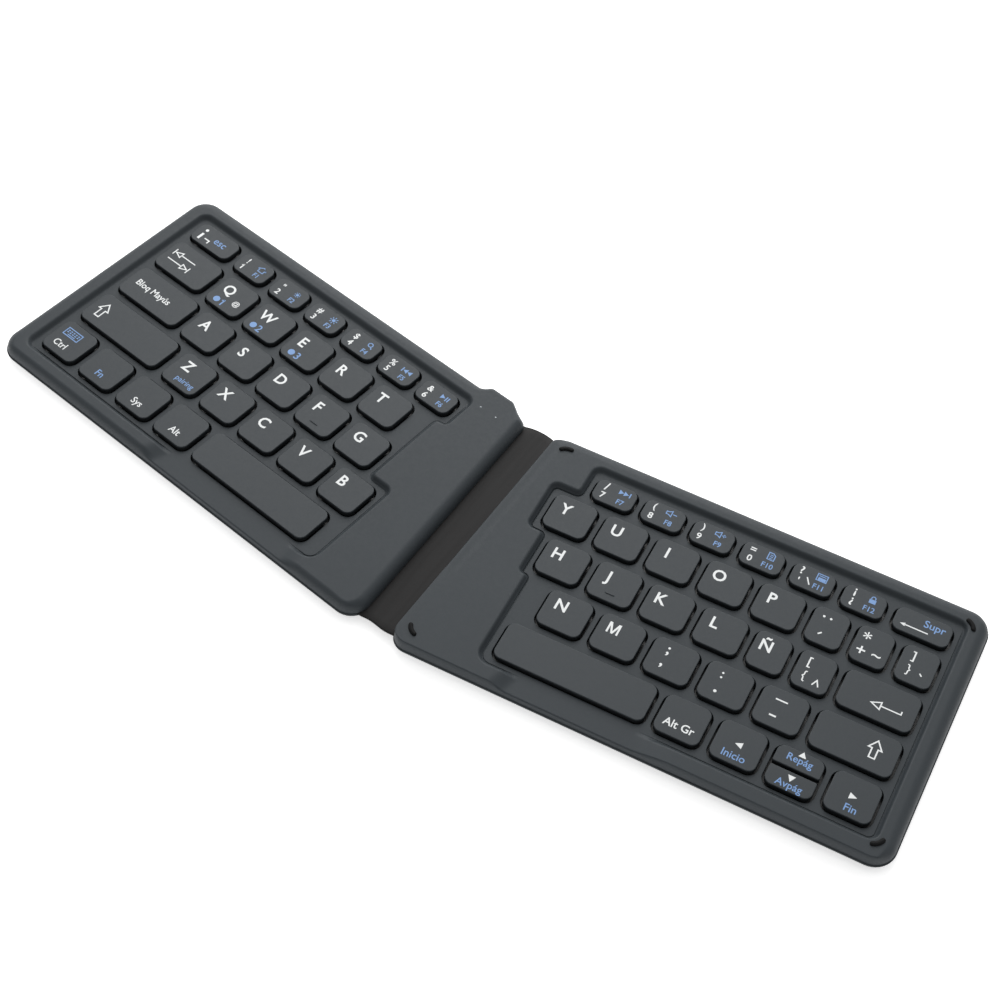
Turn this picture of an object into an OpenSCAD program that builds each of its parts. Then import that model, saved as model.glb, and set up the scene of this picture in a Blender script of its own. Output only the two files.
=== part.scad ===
// Folding keyboard: two key halves joined by a soft strip, opened flat.
// Plan coordinates of each half are (u, v): u runs along the key rows to the
// right, v runs away from the typist, and the origin is the left front corner
// of the first key of the top letter row. All plan numbers are for an 18 mm
// letter pitch and are scaled by key_pitch / 18.

/* [Layout] */
// Spacing of the letter keys along a row
key_pitch = 18; // [17.5:0.1:18.5]
// Angle by which each half is turned towards the typist
half_turn = 6.85; // [6:0.05:7.5]

/* [Keys] */
// Height of the key tops above the recessed floor
key_rise = 1.55; // [1.45:0.05:1.6]
// How far a key travels down
key_travel = 1.2; // [1:0.05:1.2]
// Clearance between a key and its opening, all round
key_clear = 0.8; // [0.6:0.05:0.8]
// Corner radius of the key tops
key_corner = 2.6; // [2:0.1:2.8]
// Thickness of a cap's top and skirt
cap_wall = 1; // [0.8:0.1:1]

/* [Covers] */
// Height of the rim above the table
rim_z = 7.6; // [7.4:0.1:8]
// Height of the recessed floor above the table
floor_z = 5.95; // [5.9:0.05:6]
// Thickness of the top cover's floor
plate_t = 1; // [0.8:0.1:1.1]
// Height of the rubber feet
foot_h = 0.8; // [0.6:0.1:1]

/* [Strip] */
// Distance between the two fold lines of the strip
strip_span = 9.7; // [9.4:0.1:10]
// Thickness of the strip
strip_t = 1; // [0.8:0.1:1]
// Gap between the two rims when folded shut
shut_gap = 0.8; // [0.7:0.1:1]

/* [Hidden] */
$fn = 48;

S = key_pitch / 18;              // plan scale
key_top = floor_z + key_rise;
cap_low = floor_z - 0.6;         // lower edge of the cap's skirt, at rest
axis_z = (2 * rim_z + shut_gap - strip_span * S) / 2;   // fold lines' height
part_z = axis_z + strip_t / 2;   // parting plane of the two covers
low_z = foot_h;                  // underside of the bottom covers
tray_z = low_z + 1;              // inner floor of the bottom covers
sheet_z = tray_z + 0.5;          // underside of the support plates
memb_z = sheet_z + 0.4;
mech_z = memb_z + 0.2;
mech_top = key_top - cap_wall - key_travel - 0.3;   // pressed height limit
shift = [0.887, 5.055, 0];      // brings the origin under the middle
origin_r = [20.27 * S, 0, 0];
origin_l = [-127.6 * S, 12.92 * S, 0];

// ---- outlines, as [u, v, corner radius], counter-clockwise ----
BODY_R = [[-22, -61.4, 5.6], [142.2, -61.4, 7.5], [142.1, 36.95, 7.6], [-10.45, 36.95, 6]];
BODY_L = [[-35.9, -61.3, 7.6], [130.4, -61.3, 7.2], [118.8, 34.2, 3.5], [113.9, 36.4, 3], [-35.9, 36.4, 7.6]];
BUMP_L = [[95.5, 30, 1], [118, 30, 1], [117.6, 34.2, 1.5], [113.9, 36.4, 2.5], [109.9, 38.9, 3], [100.4, 38.9, 3]];
WELL_R = [[5.9, -55.1, 4], [136.1, -55.1, 3], [136.1, 29.8, 3], [6.6, 29.8, 3], [6.6, 17, 1.6],
          [-2.6, 17, 2.4], [-2.6, -2.4, 2.2], [3.2, -2.4, 1.6], [3.2, -19.7, 1.4], [5.9, -19.7, 1.2]];
WELL_L = [[-28.3, -55.1, 3], [105.6, -55.1, 4], [105.6, -17.4, 2.4], [96.6, -17.4, 1.6],
          [96.6, 14.6, 1.6], [100.4, 14.6, 1.6], [100.4, 28.9, 3], [-28.3, 28.9, 3]];
SCOOP_R = [[16, -53], [12, -70], [70, -70], [60, -53]];
SCOOP_L = [[37, -53], [29, -70], [108, -70], [99, -53]];

// ---- key tables, as [u, v, width, depth]; a fifth number marks a half-height
// key: 1 has square front corners, 2 has square rear corners ----
ROW_V = [17.15, 0.05, -17.05, -34.3, -51.55];
function K(u0, u1, row) = [u0, ROW_V[row], u1 - u0, row == 0 ? 8.9 : 13.8];
function run(row, n, u0, step, w) = [for (i = [0:n - 1]) K(u0 + i * step, u0 + i * step + w, row)];
L_NUM = concat([K(-24.6, -6.55, 0)], run(0, 6, -3.15, 17.19, 13.95));
L_QWE = run(1, 5, 0.55, 18, 14.75);
L_ASD = run(2, 5, 6.05, 18, 14.75);
L_ZXC = run(3, 5, 15.15, 18, 14.75);
L_MOD = concat([K(-24.6, -2.8, 1), K(-24.6, 2.84, 2), K(-24.6, 11.4, 3)], run(4, 4, -24.65, 18, 14.75));
L_SPACE = K(47.45, 97.8, 4);
R_NUM = run(0, 6, 9.95, 17.2, 13.95);
R_BACK = K(113.35, 131.65, 0);
R_YUI = run(1, 5, 0.6, 18, 14.75);
R_HJK = run(2, 4, 6.3, 18, 14.75);
R_ENYE = K(78.15, 89.7, 2);
R_NM = run(3, 2, 15.4, 18, 14.75);
R_PUN = concat(run(1, 3, 90.6, 14.75, 11.6), [K(92.85, 104.5, 2)], run(3, 3, 51.35, 18, 14.8));
R_ENTER = K(107.65, 131.7, 2);
R_SPACE = K(9.5, 59.6, 4);
R_CUR = [K(105.5, 131.7, 3), K(62.75, 77.5, 4), K(80.85, 95.6, 4),
         [98.75, -44.2, 14.9, 6.45, 1], [98.75, -52.1, 14.9, 6.6, 2], K(116.95, 131.7, 4)];
ALL_L = concat(L_NUM, L_QWE, L_ASD, L_ZXC, L_MOD, [L_SPACE]);
ALL_R = concat(R_NUM, [R_BACK], R_YUI, R_HJK, [R_ENYE], R_NM, R_PUN, [R_ENTER, R_SPACE], R_CUR);

BOARD_PEGS = [[110, -12.5], [110, 18]];

// ---- plan helpers ----
function unit(v) = v / norm(v);
function xy(p) = [p[0], p[1]];
// points of one rounded corner at b, between a and c
function corner(a, b, c, r, n) = r <= 0 ? [b] :
  let (p = unit(a - b), q = unit(c - b), h = acos(p * q) / 2, t = r / tan(h),
       m = b + unit(p + q) * (r / sin(h)), s = b + p * t, e = b + q * t,
       a0 = atan2(s.y - m.y, s.x - m.x), a1 = atan2(e.y - m.y, e.x - m.x),
       d = ((a1 - a0 + 540) % 360) - 180)
  [for (i = [0:n]) m + r * [cos(a0 + d * i / n), sin(a0 + d * i / n)]];
function rounded(P, n = 6) = let (k = len(P))
  [for (i = [0:k - 1]) each corner(xy(P[(i + k - 1) % k]) * S, xy(P[i]) * S, xy(P[(i + 1) % k]) * S, P[i][2], n)];
// the same outline moved inwards by d
function inset(P, d) = let (k = len(P))
  [for (i = [0:k - 1]) let (a = xy(P[(i + k - 1) % k]), b = xy(P[i]), c = xy(P[(i + 1) % k]),
      e = unit(b - a), f = unit(c - b), n = [-e.y, e.x], m = [-f.y, f.x], g = (n + m) * d / (1 + n * m),
      turn = e.x * f.y - e.y * f.x)
    [b.x + g.x, b.y + g.y, max(0.3, P[i][2] + (turn > 0 ? -d : d))]];
function box_of(k, g = 0) =
  let (f = max(0.3, (k[4] == 1 ? 0.6 : key_corner) + g), b = max(0.3, (k[4] == 2 ? 0.6 : key_corner) + g))
  [[k[0] - g, k[1] - g, f], [k[0] + k[2] + g, k[1] - g, f],
   [k[0] + k[2] + g, k[1] + k[3] + g, b], [k[0] - g, k[1] + k[3] + g, b]];

module prism(P, z0, z1, n = 6) translate([0, 0, z0]) linear_extrude(z1 - z0) polygon(rounded(P, n));
// slab whose plan shrinks from inset i0 at z0 to inset i1 at z1
module bevel_slab(P, z0, z1, i0, i1) hull() {
  prism(inset(P, i0), z0, z0 + 0.01, 5);
  prism(inset(P, i1), z1 - 0.01, z1, 5);
}
module on_left() translate(shift + origin_l) rotate(-half_turn) children();
module on_right() translate(shift + origin_r) rotate(half_turn) children();
module bar(x0, x1, y0, y1, z0, z1) translate([x0, y0, z0]) cube([x1 - x0, y1 - y0, z1 - z0]);

// ---- covers ----
module top_blank(P, W, scoop, deck, keys, bumpP = []) {
  difference() {
    union() {
      prism(P, part_z, rim_z - 2.3);
      bevel_slab(P, rim_z - 2.3, rim_z, 0, 2);
      if (len(bumpP) > 0) {
        prism(bumpP, part_z, rim_z - 2.3);
        bevel_slab(bumpP, rim_z - 2.3, rim_z, 0, 1.6);
      }
    }
    prism(W, floor_z, rim_z + 1);
    translate([0, 0, floor_z]) linear_extrude(5) polygon([for (q = scoop) q * S]);
    // hollow below the recessed floor
    prism(inset(P, 1.8), part_z - 1, floor_z - plate_t);
    // hollow below the plain deck beside the strip
    translate([0, 0, part_z - 1]) linear_extrude(rim_z - 1.2 - part_z + 1) difference() {
      intersection() {
        polygon(rounded(inset(P, 3), 4));
        polygon([for (q = deck) q * S]);
      }
      polygon(rounded(inset(W, -1.3), 3));
    }
    for (k = keys) prism(box_of(k, key_clear), part_z, rim_z + 1, 4);
  }
}
module tray_blank(P, bosses, bumpP = []) {
  difference() {
    union() {
      bevel_slab(P, low_z, part_z, 3, 0);
      if (len(bumpP) > 0) bevel_slab(bumpP, low_z, part_z, 2.4, 0);
    }
    prism(inset(P, 3.6), tray_z, part_z + 1);
  }
  for (b = bosses) translate([b.x * S, b.y * S, tray_z - 0.2]) cylinder(r = 2, h = sheet_z - tray_z + 0.2, $fn = 24);
}
// pocket for the board and the charging socket, in the left half
module socket_pocket() {
  bar(100.4 * S, 110 * S, 28 * S, 35 * S, tray_z, 5.4);
  bar(105.2 * S - 4.75, 105.2 * S + 4.75, 30 * S, 40 * S, tray_z + 0.55, tray_z + 4.2);
}
// slot in the tray's wall for the strip, on side s
module strip_slot(s)
  translate(shift) bar(min(s * 3, s * 14), max(s * 3, s * 14), -59.6 * S, 33.4 * S, part_z - strip_t, part_z + 1);
module left_top_cover() color([0.27, 0.285, 0.295]) difference() {
  on_left() top_blank(BODY_L, WELL_L, SCOOP_L, [[96, -52], [135, -52], [135, 33], [96, 33]], ALL_L, BUMP_L);
  on_left() {
    socket_pocket();
    for (p = [[103.6, 28.2], [110.2, 28.2]]) translate([p.x * S, p.y * S, 3]) cylinder(r = 0.5, h = 6, $fn = 20);
  }
}
module left_bottom_cover() color([0.2, 0.21, 0.215]) difference() {
  on_left() {
    tray_blank(BODY_L, [[-20, 20], [30, 20], [80, 20], [-20, -40], [30, -40], [80, -40], [-20, -8], [30, -8], [80, -8]], BUMP_L);
    // pegs that hold the main board
    for (p = BOARD_PEGS) translate([p.x * S, p.y * S, tray_z - 0.2]) cylinder(r = 0.7, h = 1.2, $fn = 24);
  }
  on_left() socket_pocket();
  strip_slot(-1);
}
module right_top_cover() color([0.27, 0.285, 0.295])
  on_right() top_blank(BODY_R, WELL_R, SCOOP_R, [[-25, -52], [4, -52], [4, 27], [-25, 27]], ALL_R);
module right_bottom_cover() color([0.2, 0.21, 0.215]) difference() {
  on_right() tray_blank(BODY_R, [[20, 20], [70, 20], [120, 20], [20, -40], [70, -40], [120, -40], [20, -8], [70, -8], [120, -8]]);
  strip_slot(1);
}

// ---- key carrier: plate, contact sheets, scissor frames, domes ----
module left_support_plate() color("silver") on_left() prism(inset(WELL_L, 0.5), sheet_z, memb_z, 4);
module right_support_plate() color("silver") on_right() prism(inset(WELL_R, 0.5), sheet_z, memb_z, 4);
module contact_sheet(W, tail) {
  prism(inset(W, 0.8), memb_z, mech_z, 4);
  translate([0, 0, memb_z]) linear_extrude(mech_z - memb_z) polygon([for (q = tail) q * S]);
}
module left_membrane() color([0.12, 0.125, 0.13]) on_left() contact_sheet(WELL_L, [[90, -30], [113, -30], [113, -18.5], [90, -18.5]]);
module right_membrane() color([0.12, 0.125, 0.13]) on_right() contact_sheet(WELL_R, [[-5.2, 3], [10, 3], [10, 14], [-5.2, 14]]);

function dome_r(k) = k[3] > 10 ? min(2.9, (k[2] - 3.4) / 2 - 2) : k[3] > 8 ? 1.6 : 0.7;
module frame_ring(cx, cy, w, d, t, z0, z1) translate([cx, cy, z0]) difference() {
  translate([-w / 2, -d / 2, 0]) cube([w, d, z1 - z0]);
  translate([-w / 2 + t, -d / 2 + t, -1]) cube([w - 2 * t, d - 2 * t, z1 - z0 + 2]);
}
module scissors(keys) for (k = keys) {
  cx = (k[0] + k[2] / 2) * S; cy = (k[1] + k[3] / 2) * S;
  w = min(k[2] * S - 3.4, 11); d = k[3] * S - 3.4;
  frame_ring(cx, cy, w, d, 0.8, mech_z, mech_z + 0.8);
  if (d > 9) {
    frame_ring(cx, cy, w - 2.2, d - 2.2, 0.7, mech_z, mech_z + 0.8);
    // pivot pins between the two frames
    for (s = [-1, 1]) translate([cx + s * (w / 2 - 0.95) - 0.35, cy - 0.3, mech_z + 0.1]) cube([0.7, 0.6, 0.6]);
  }
}
module left_scissors() color([0.1, 0.1, 0.105]) on_left() scissors(ALL_L);
module right_scissors() color([0.1, 0.1, 0.105]) on_right() scissors(ALL_R);
module domes(keys) for (k = keys) translate([(k[0] + k[2] / 2) * S, (k[1] + k[3] / 2) * S, mech_z]) {
  r = dome_r(k); h = mech_top - mech_z;
  if (r > 1) difference() {
    cylinder(r1 = r, r2 = r * 0.62, h = h, $fn = 24);
    translate([0, 0, -0.1]) cylinder(r1 = r - 0.45, r2 = r * 0.62 - 0.45, h = h - 0.4, $fn = 24);
  } else cylinder(r1 = r, r2 = r * 0.7, h = h, $fn = 24);
}
module left_domes() color([0.85, 0.85, 0.88]) on_left() domes(ALL_L);
module right_domes() color([0.85, 0.85, 0.88]) on_right() domes(ALL_R);

// ---- electrics ----
module main_board() color([0.1, 0.35, 0.2]) on_left() {
  difference() {
    union() {
      translate([0, 0, tray_z]) linear_extrude(0.6) polygon([for (q = [[98.6, -14], [111.5, -14], [111.5, 30.4], [109.6, 30.4], [109.6, 34.8], [100.8, 34.8], [100.8, 14.6], [98.6, 14.6]]) q * S]);
      bar(100.5 * S, 100.5 * S + 7, 2 * S, 2 * S + 7, tray_z + 0.4, tray_z + 1.5);        // controller
      bar(100 * S, 100 * S + 9, -12 * S, -12 * S + 9, tray_z + 0.4, tray_z + 2.3);        // radio module
      bar(103 * S, 103 * S + 3.2, 12.5 * S, 12.5 * S + 2.5, tray_z + 0.4, tray_z + 1.4);  // crystal
      bar(104 * S, 104 * S + 4, 20 * S, 20 * S + 3, tray_z + 0.4, tray_z + 1.6);          // charging circuit
      for (p = [[103.6, 28.2], [110.2, 28.2]]) bar(p.x * S - 0.8, p.x * S + 0.8, p.y * S - 0.6, p.y * S + 0.6, tray_z + 0.4, tray_z + 1.2);
    }
    for (p = BOARD_PEGS) translate([p.x * S, p.y * S, 0]) cylinder(r = 0.9, h = 9, $fn = 24);
  }
}
module indicator_lights() color([0.9, 0.95, 1, 0.8]) on_left()
  for (p = [[103.6, 28.2], [110.2, 28.2]]) translate([p.x * S, p.y * S, tray_z + 1.2]) cylinder(r = 0.4, h = rim_z - tray_z - 1.2, $fn = 20);
module socket_outline(w, h) intersection() {
  union() { square([w - h, h], center = true); for (s = [-1, 1]) translate([s * (w - h) / 2, 0]) circle(d = h, $fn = 32); }
  square([w, h], center = true);
}
module charge_port() color([0.7, 0.72, 0.75]) on_left() translate([105.2 * S, 38.1 * S, tray_z + 0.6 + 1.6]) rotate([90, 0, 0]) {
  difference() {
    linear_extrude(7) socket_outline(8.9, 3.2);
    translate([0, 0, -1]) linear_extrude(6.6) socket_outline(8.3, 2.6);
  }
  translate([0, 0, 1]) linear_extrude(5) square([6.7, 0.7], center = true);
}
module battery() color([0.25, 0.3, 0.4]) on_right() {
  prism([[-8.3, -50, 1.2], [0.9, -50, 1.2], [0.9, -14, 1.2], [-8.3, -14, 1.2]], tray_z, tray_z + 3.2, 4);
  bar(-6 * S, -1 * S, -14.2 * S, -12.6 * S, tray_z + 0.6, tray_z + 2);   // protection board
}
module closing_magnets() color([0.6, 0.6, 0.62]) on_left()
  for (v = [10, -46]) bar(-29 * S, -26.4 * S, v * S, (v + 11) * S, mech_z, floor_z - plate_t - 0.1);

// ---- rubber ----
module foot(u, v) prism([[u - 8, v - 2.4, 2.3], [u + 8, v - 2.4, 2.3], [u + 8, v + 2.4, 2.3], [u - 8, v + 2.4, 2.3]], 0, low_z, 5);
module left_feet() color([0.08, 0.08, 0.08]) on_left() for (p = [[-20, -53], [114, -53], [-20, 27], [103, 27]]) foot(p.x, p.y);
module right_feet() color([0.08, 0.08, 0.08]) on_right() for (p = [[-6, -53], [128, -53], [4, 27], [128, 27]]) foot(p.x, p.y);
module crescent(u, v, a0) translate([u * S, v * S, rim_z - 0.001]) rotate(a0) rotate_extrude(angle = 84, $fn = 64)
  translate([3.4, 0]) square([1.3, shut_gap - 0.1]);
module corner_bumpers() color([0.05, 0.05, 0.05]) on_right() {
  crescent(-3.6, 27.4, 90 - 10);
  crescent(133, 26.9, 3);
  crescent(-13, -52.6, 183);
  crescent(133.2, -52.4, 273);
}

// ---- strip ----
half_span = strip_span * S / 2;
module hinge_strip() color([0.2, 0.19, 0.18]) translate(shift) difference() {
  union() {
    bar(-half_span, half_span, -59.6 * S, 33.4 * S, axis_z - strip_t / 2, axis_z + strip_t / 2);
    for (s = [-1, 1]) translate([s * half_span, -59.6 * S, axis_z]) rotate([-90, 0, 0]) cylinder(r = strip_t / 2, h = 93 * S, $fn = 32);
  }
  bar(-half_span + 0.6, half_span - 0.6, -34 * S, -22 * S, axis_z - 0.15, axis_z + 0.15);
}
module flex_link() color([0.8, 0.5, 0.15]) translate(shift)
  bar(-half_span + 0.6, half_span - 0.6, -34 * S, -22 * S, axis_z - 0.15, axis_z + 0.15);
module strip_flap_left() color([0.2, 0.19, 0.18]) translate(shift)
  bar(-12.5, -half_span - 0.9, -59.6 * S, 33.4 * S, part_z - strip_t, part_z);
module strip_flap_right() color([0.2, 0.19, 0.18]) translate(shift)
  bar(half_span + 0.9, 12.5, -59.6 * S, 33.4 * S, part_z - strip_t, part_z);

// ---- key caps ----
module cap(k) difference() {
  prism(box_of(k), cap_low, key_top, 5);
  prism(box_of(k, -cap_wall), cap_low - 1, key_top - cap_wall, 3);
}
module caps_left(keys) color([0.3, 0.315, 0.325]) on_left() for (k = keys) cap(k);
module caps_right(keys) color([0.3, 0.315, 0.325]) on_right() for (k = keys) cap(k);

left_top_cover();
left_bottom_cover();
left_support_plate();
left_membrane();
left_scissors();
left_domes();
main_board();
charge_port();
indicator_lights();
closing_magnets();
left_feet();
right_top_cover();
right_bottom_cover();
right_support_plate();
right_membrane();
right_scissors();
right_domes();
battery();
corner_bumpers();
right_feet();
strip_flap_left();
hinge_strip();
flex_link();
strip_flap_right();
caps_left([L_QWE[0]]);  // key_q
caps_left([L_QWE[1]]);  // key_w
caps_left([L_QWE[2]]);  // key_e
caps_left([L_QWE[3]]);  // key_r
caps_left([L_QWE[4]]);  // key_t
caps_left([L_ASD[0]]);  // key_a
caps_left([L_ASD[1]]);  // key_s
caps_left([L_ASD[2]]);  // key_d
caps_left([L_ASD[3]]);  // key_f
caps_left([L_ASD[4]]);  // key_g
caps_left([L_ZXC[0]]);  // key_z
caps_left([L_ZXC[1]]);  // key_x
caps_left([L_ZXC[2]]);  // key_c
caps_left([L_ZXC[3]]);  // key_v
caps_left([L_ZXC[4]]);  // key_b
caps_right([R_YUI[0]]);  // key_y
caps_right([R_YUI[1]]);  // key_u
caps_right([R_YUI[2]]);  // key_i
caps_right([R_YUI[3]]);  // key_o
caps_right([R_YUI[4]]);  // key_p
caps_right([R_HJK[0]]);  // key_h
caps_right([R_HJK[1]]);  // key_j
caps_right([R_HJK[2]]);  // key_k
caps_right([R_HJK[3]]);  // key_l
caps_right([R_ENYE]);  // key_enye
caps_right([R_NM[0]]);  // key_n
caps_right([R_NM[1]]);  // key_m
caps_left([L_SPACE]);  // space_left
caps_right([R_SPACE]);  // space_right
caps_right([R_ENTER]);  // enter_key
caps_right([R_BACK]);  // backspace_key
caps_left(L_NUM);  // number_keys_left
caps_left(L_MOD);  // modifier_keys_left
caps_right(R_NUM);  // number_keys_right
caps_right(R_PUN);  // punctuation_keys
caps_right(R_CUR);  // cursor_shift_keys
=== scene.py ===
import math

import bpy
import numpy as np
from mathutils import Matrix, Vector
from mathutils.geometry import delaunay_2d_cdt

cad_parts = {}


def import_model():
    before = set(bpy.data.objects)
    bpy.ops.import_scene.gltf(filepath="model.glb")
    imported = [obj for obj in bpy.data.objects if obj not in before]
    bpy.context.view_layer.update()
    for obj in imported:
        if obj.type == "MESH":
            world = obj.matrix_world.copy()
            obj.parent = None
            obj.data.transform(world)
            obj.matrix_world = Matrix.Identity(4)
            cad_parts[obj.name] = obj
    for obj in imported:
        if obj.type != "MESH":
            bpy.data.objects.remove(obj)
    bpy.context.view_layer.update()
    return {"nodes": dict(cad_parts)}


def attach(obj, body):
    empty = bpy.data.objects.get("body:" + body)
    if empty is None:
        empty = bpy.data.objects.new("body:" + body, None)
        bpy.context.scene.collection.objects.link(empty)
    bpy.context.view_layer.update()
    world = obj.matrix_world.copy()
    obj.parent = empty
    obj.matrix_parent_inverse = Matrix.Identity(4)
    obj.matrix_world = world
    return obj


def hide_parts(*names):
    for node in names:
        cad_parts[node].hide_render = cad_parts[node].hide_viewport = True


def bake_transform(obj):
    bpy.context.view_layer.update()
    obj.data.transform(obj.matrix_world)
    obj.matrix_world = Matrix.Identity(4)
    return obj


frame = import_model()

MM = 0.001

# ------------------------------------------------------------------ the frame
# Plan coordinates (u, v) of each half, in millimetres, as in the CAD source.
TURN = math.radians(6.85)
CT, ST = math.cos(TURN), math.sin(TURN)
RIM_Z, FLOOR_Z, TOP_Z, LOW_Z, PART_Z = 7.6, 5.95, 7.5, 0.8, 3.65
MID_X, HALF_SPAN, AXIS_Z = 0.887, 4.85, 3.15
STRIP_Y0, STRIP_Y1 = -54.545, 38.455
AT_L, AT_R = (-126.713, 17.975), (21.157, 5.055)     # where each half's origin lies
GAP = 0.76                                            # between a key and its opening


def world(side, p):
    p = np.asarray(p, float).reshape(-1, 3)
    if side == "L":
        x, y = p[:, 0] * CT + p[:, 1] * ST + AT_L[0], -p[:, 0] * ST + p[:, 1] * CT + AT_L[1]
    elif side == "R":
        x, y = p[:, 0] * CT - p[:, 1] * ST + AT_R[0], p[:, 0] * ST + p[:, 1] * CT + AT_R[1]
    else:
        x, y = p[:, 0], p[:, 1]
    return np.stack([x, y, p[:, 2]], 1) * MM


# ------------------------------------------------------------------ the camera
cam_data = bpy.data.cameras.new("camera")
cam = bpy.data.objects.new("camera", cam_data)
bpy.context.scene.collection.objects.link(cam)
cam_data.sensor_width = 36
cam_data.lens = 69.2744
cam_data.clip_start, cam_data.clip_end = 0.01, 20
right = Vector((0.82941333, 0.55675632, 0.04578137))
up = Vector((-0.46776689, 0.64736151, 0.60176175))
back = Vector((0.30539756, -0.52052423, 0.79736244))
m = Matrix((right, up, back)).transposed().to_4x4()
m.translation = Vector((0.195280, -0.316851, 0.500802))
cam.matrix_world = m
bpy.context.scene.camera = cam


# ------------------------------------------------------------------ materials
def new_material(name):
    mat = bpy.data.materials.new(name)
    mat.use_nodes = True
    nt = mat.node_tree
    for n in list(nt.nodes):
        nt.nodes.remove(n)
    out = nt.nodes.new("ShaderNodeOutputMaterial")
    bsdf = nt.nodes.new("ShaderNodeBsdfPrincipled")
    nt.links.new(bsdf.outputs[0], out.inputs[0])
    return mat, nt, bsdf


def ramp(nt, source, a, b, lo=0.3, hi=0.7):
    r = nt.nodes.new("ShaderNodeMapRange")
    r.inputs["From Min"].default_value, r.inputs["From Max"].default_value = lo, hi
    r.inputs["To Min"].default_value, r.inputs["To Max"].default_value = a, b
    nt.links.new(source, r.inputs["Value"])
    return r.outputs[0]


def noise(nt, co, scale, detail=3, rough=0.5):
    n = nt.nodes.new("ShaderNodeTexNoise")
    n.inputs["Scale"].default_value = scale
    n.inputs["Detail"].default_value = detail
    n.inputs["Roughness"].default_value = rough
    nt.links.new(co, n.inputs["Vector"])
    return n.outputs[0]


def mix_colour(nt, fac, a, b):
    m = nt.nodes.new("ShaderNodeMix")
    m.data_type = "RGBA"
    nt.links.new(fac, m.inputs[0])
    m.inputs[6].default_value = (*a, 1)
    m.inputs[7].default_value = (*b, 1)
    return m


def moulded(name, colour, rough, grain=0.22, depth=0.012, spread=0.05, patch=25, spec=0.5, side=None, coat=0.0):
    """Moulded or painted plastic: a fine grain, slow colour drift and a little unevenness in its gloss.
    side, if given, is (z in mm, width in mm, factor): the colour below that height is darker, as painted shade."""
    mat, nt, bsdf = new_material(name)
    tc = nt.nodes.new("ShaderNodeTexCoord")
    co = tc.outputs["Object"]
    slow = noise(nt, co, patch, 2)
    fine = noise(nt, co, 1000 / grain, 4, 0.6)
    speck = noise(nt, co, 1000 / (grain * 4), 2)
    lo = tuple(c * (1 - spread) for c in colour)
    hi = tuple(c * (1 + spread) for c in colour)
    tint = mix_colour(nt, ramp(nt, slow, 0, 1), lo, hi)
    dust = mix_colour(nt, ramp(nt, fine, 0, 1), tuple(c * 0.9 for c in colour), tuple(c * 1.1 for c in colour))
    both = nt.nodes.new("ShaderNodeMix")
    both.data_type = "RGBA"
    both.inputs[0].default_value = 0.5
    nt.links.new(tint.outputs[2], both.inputs[6])
    nt.links.new(dust.outputs[2], both.inputs[7])
    colour_out = both.outputs[2]
    # painted shade: below the given height the colour is darkened
    if side:
        z0, w, k = side
        sep = nt.nodes.new("ShaderNodeSeparateXYZ")
        nt.links.new(co, sep.inputs[0])
        f = ramp(nt, sep.outputs[2], k, 1.0, (z0 - w / 2) * MM, (z0 + w / 2) * MM)
        mul = nt.nodes.new("ShaderNodeMix")
        mul.data_type = "RGBA"
        mul.blend_type = "MULTIPLY"
        mul.inputs[0].default_value = 1
        comb = nt.nodes.new("ShaderNodeCombineColor")
        for i in range(3):
            nt.links.new(f, comb.inputs[i])
        nt.links.new(colour_out, mul.inputs[6])
        nt.links.new(comb.outputs[0], mul.inputs[7])
        colour_out = mul.outputs[2]
    nt.links.new(colour_out, bsdf.inputs["Base Color"])
    nt.links.new(ramp(nt, speck, rough - 0.04, rough + 0.04), bsdf.inputs["Roughness"])
    bsdf.inputs["Specular IOR Level"].default_value = spec
    bsdf.inputs["Coat Weight"].default_value = coat
    bump = nt.nodes.new("ShaderNodeBump")
    bump.inputs["Strength"].default_value = 0.5
    bump.inputs["Distance"].default_value = depth * MM
    nt.links.new(fine, bump.inputs["Height"])
    nt.links.new(bump.outputs[0], bsdf.inputs["Normal"])
    return mat


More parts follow.
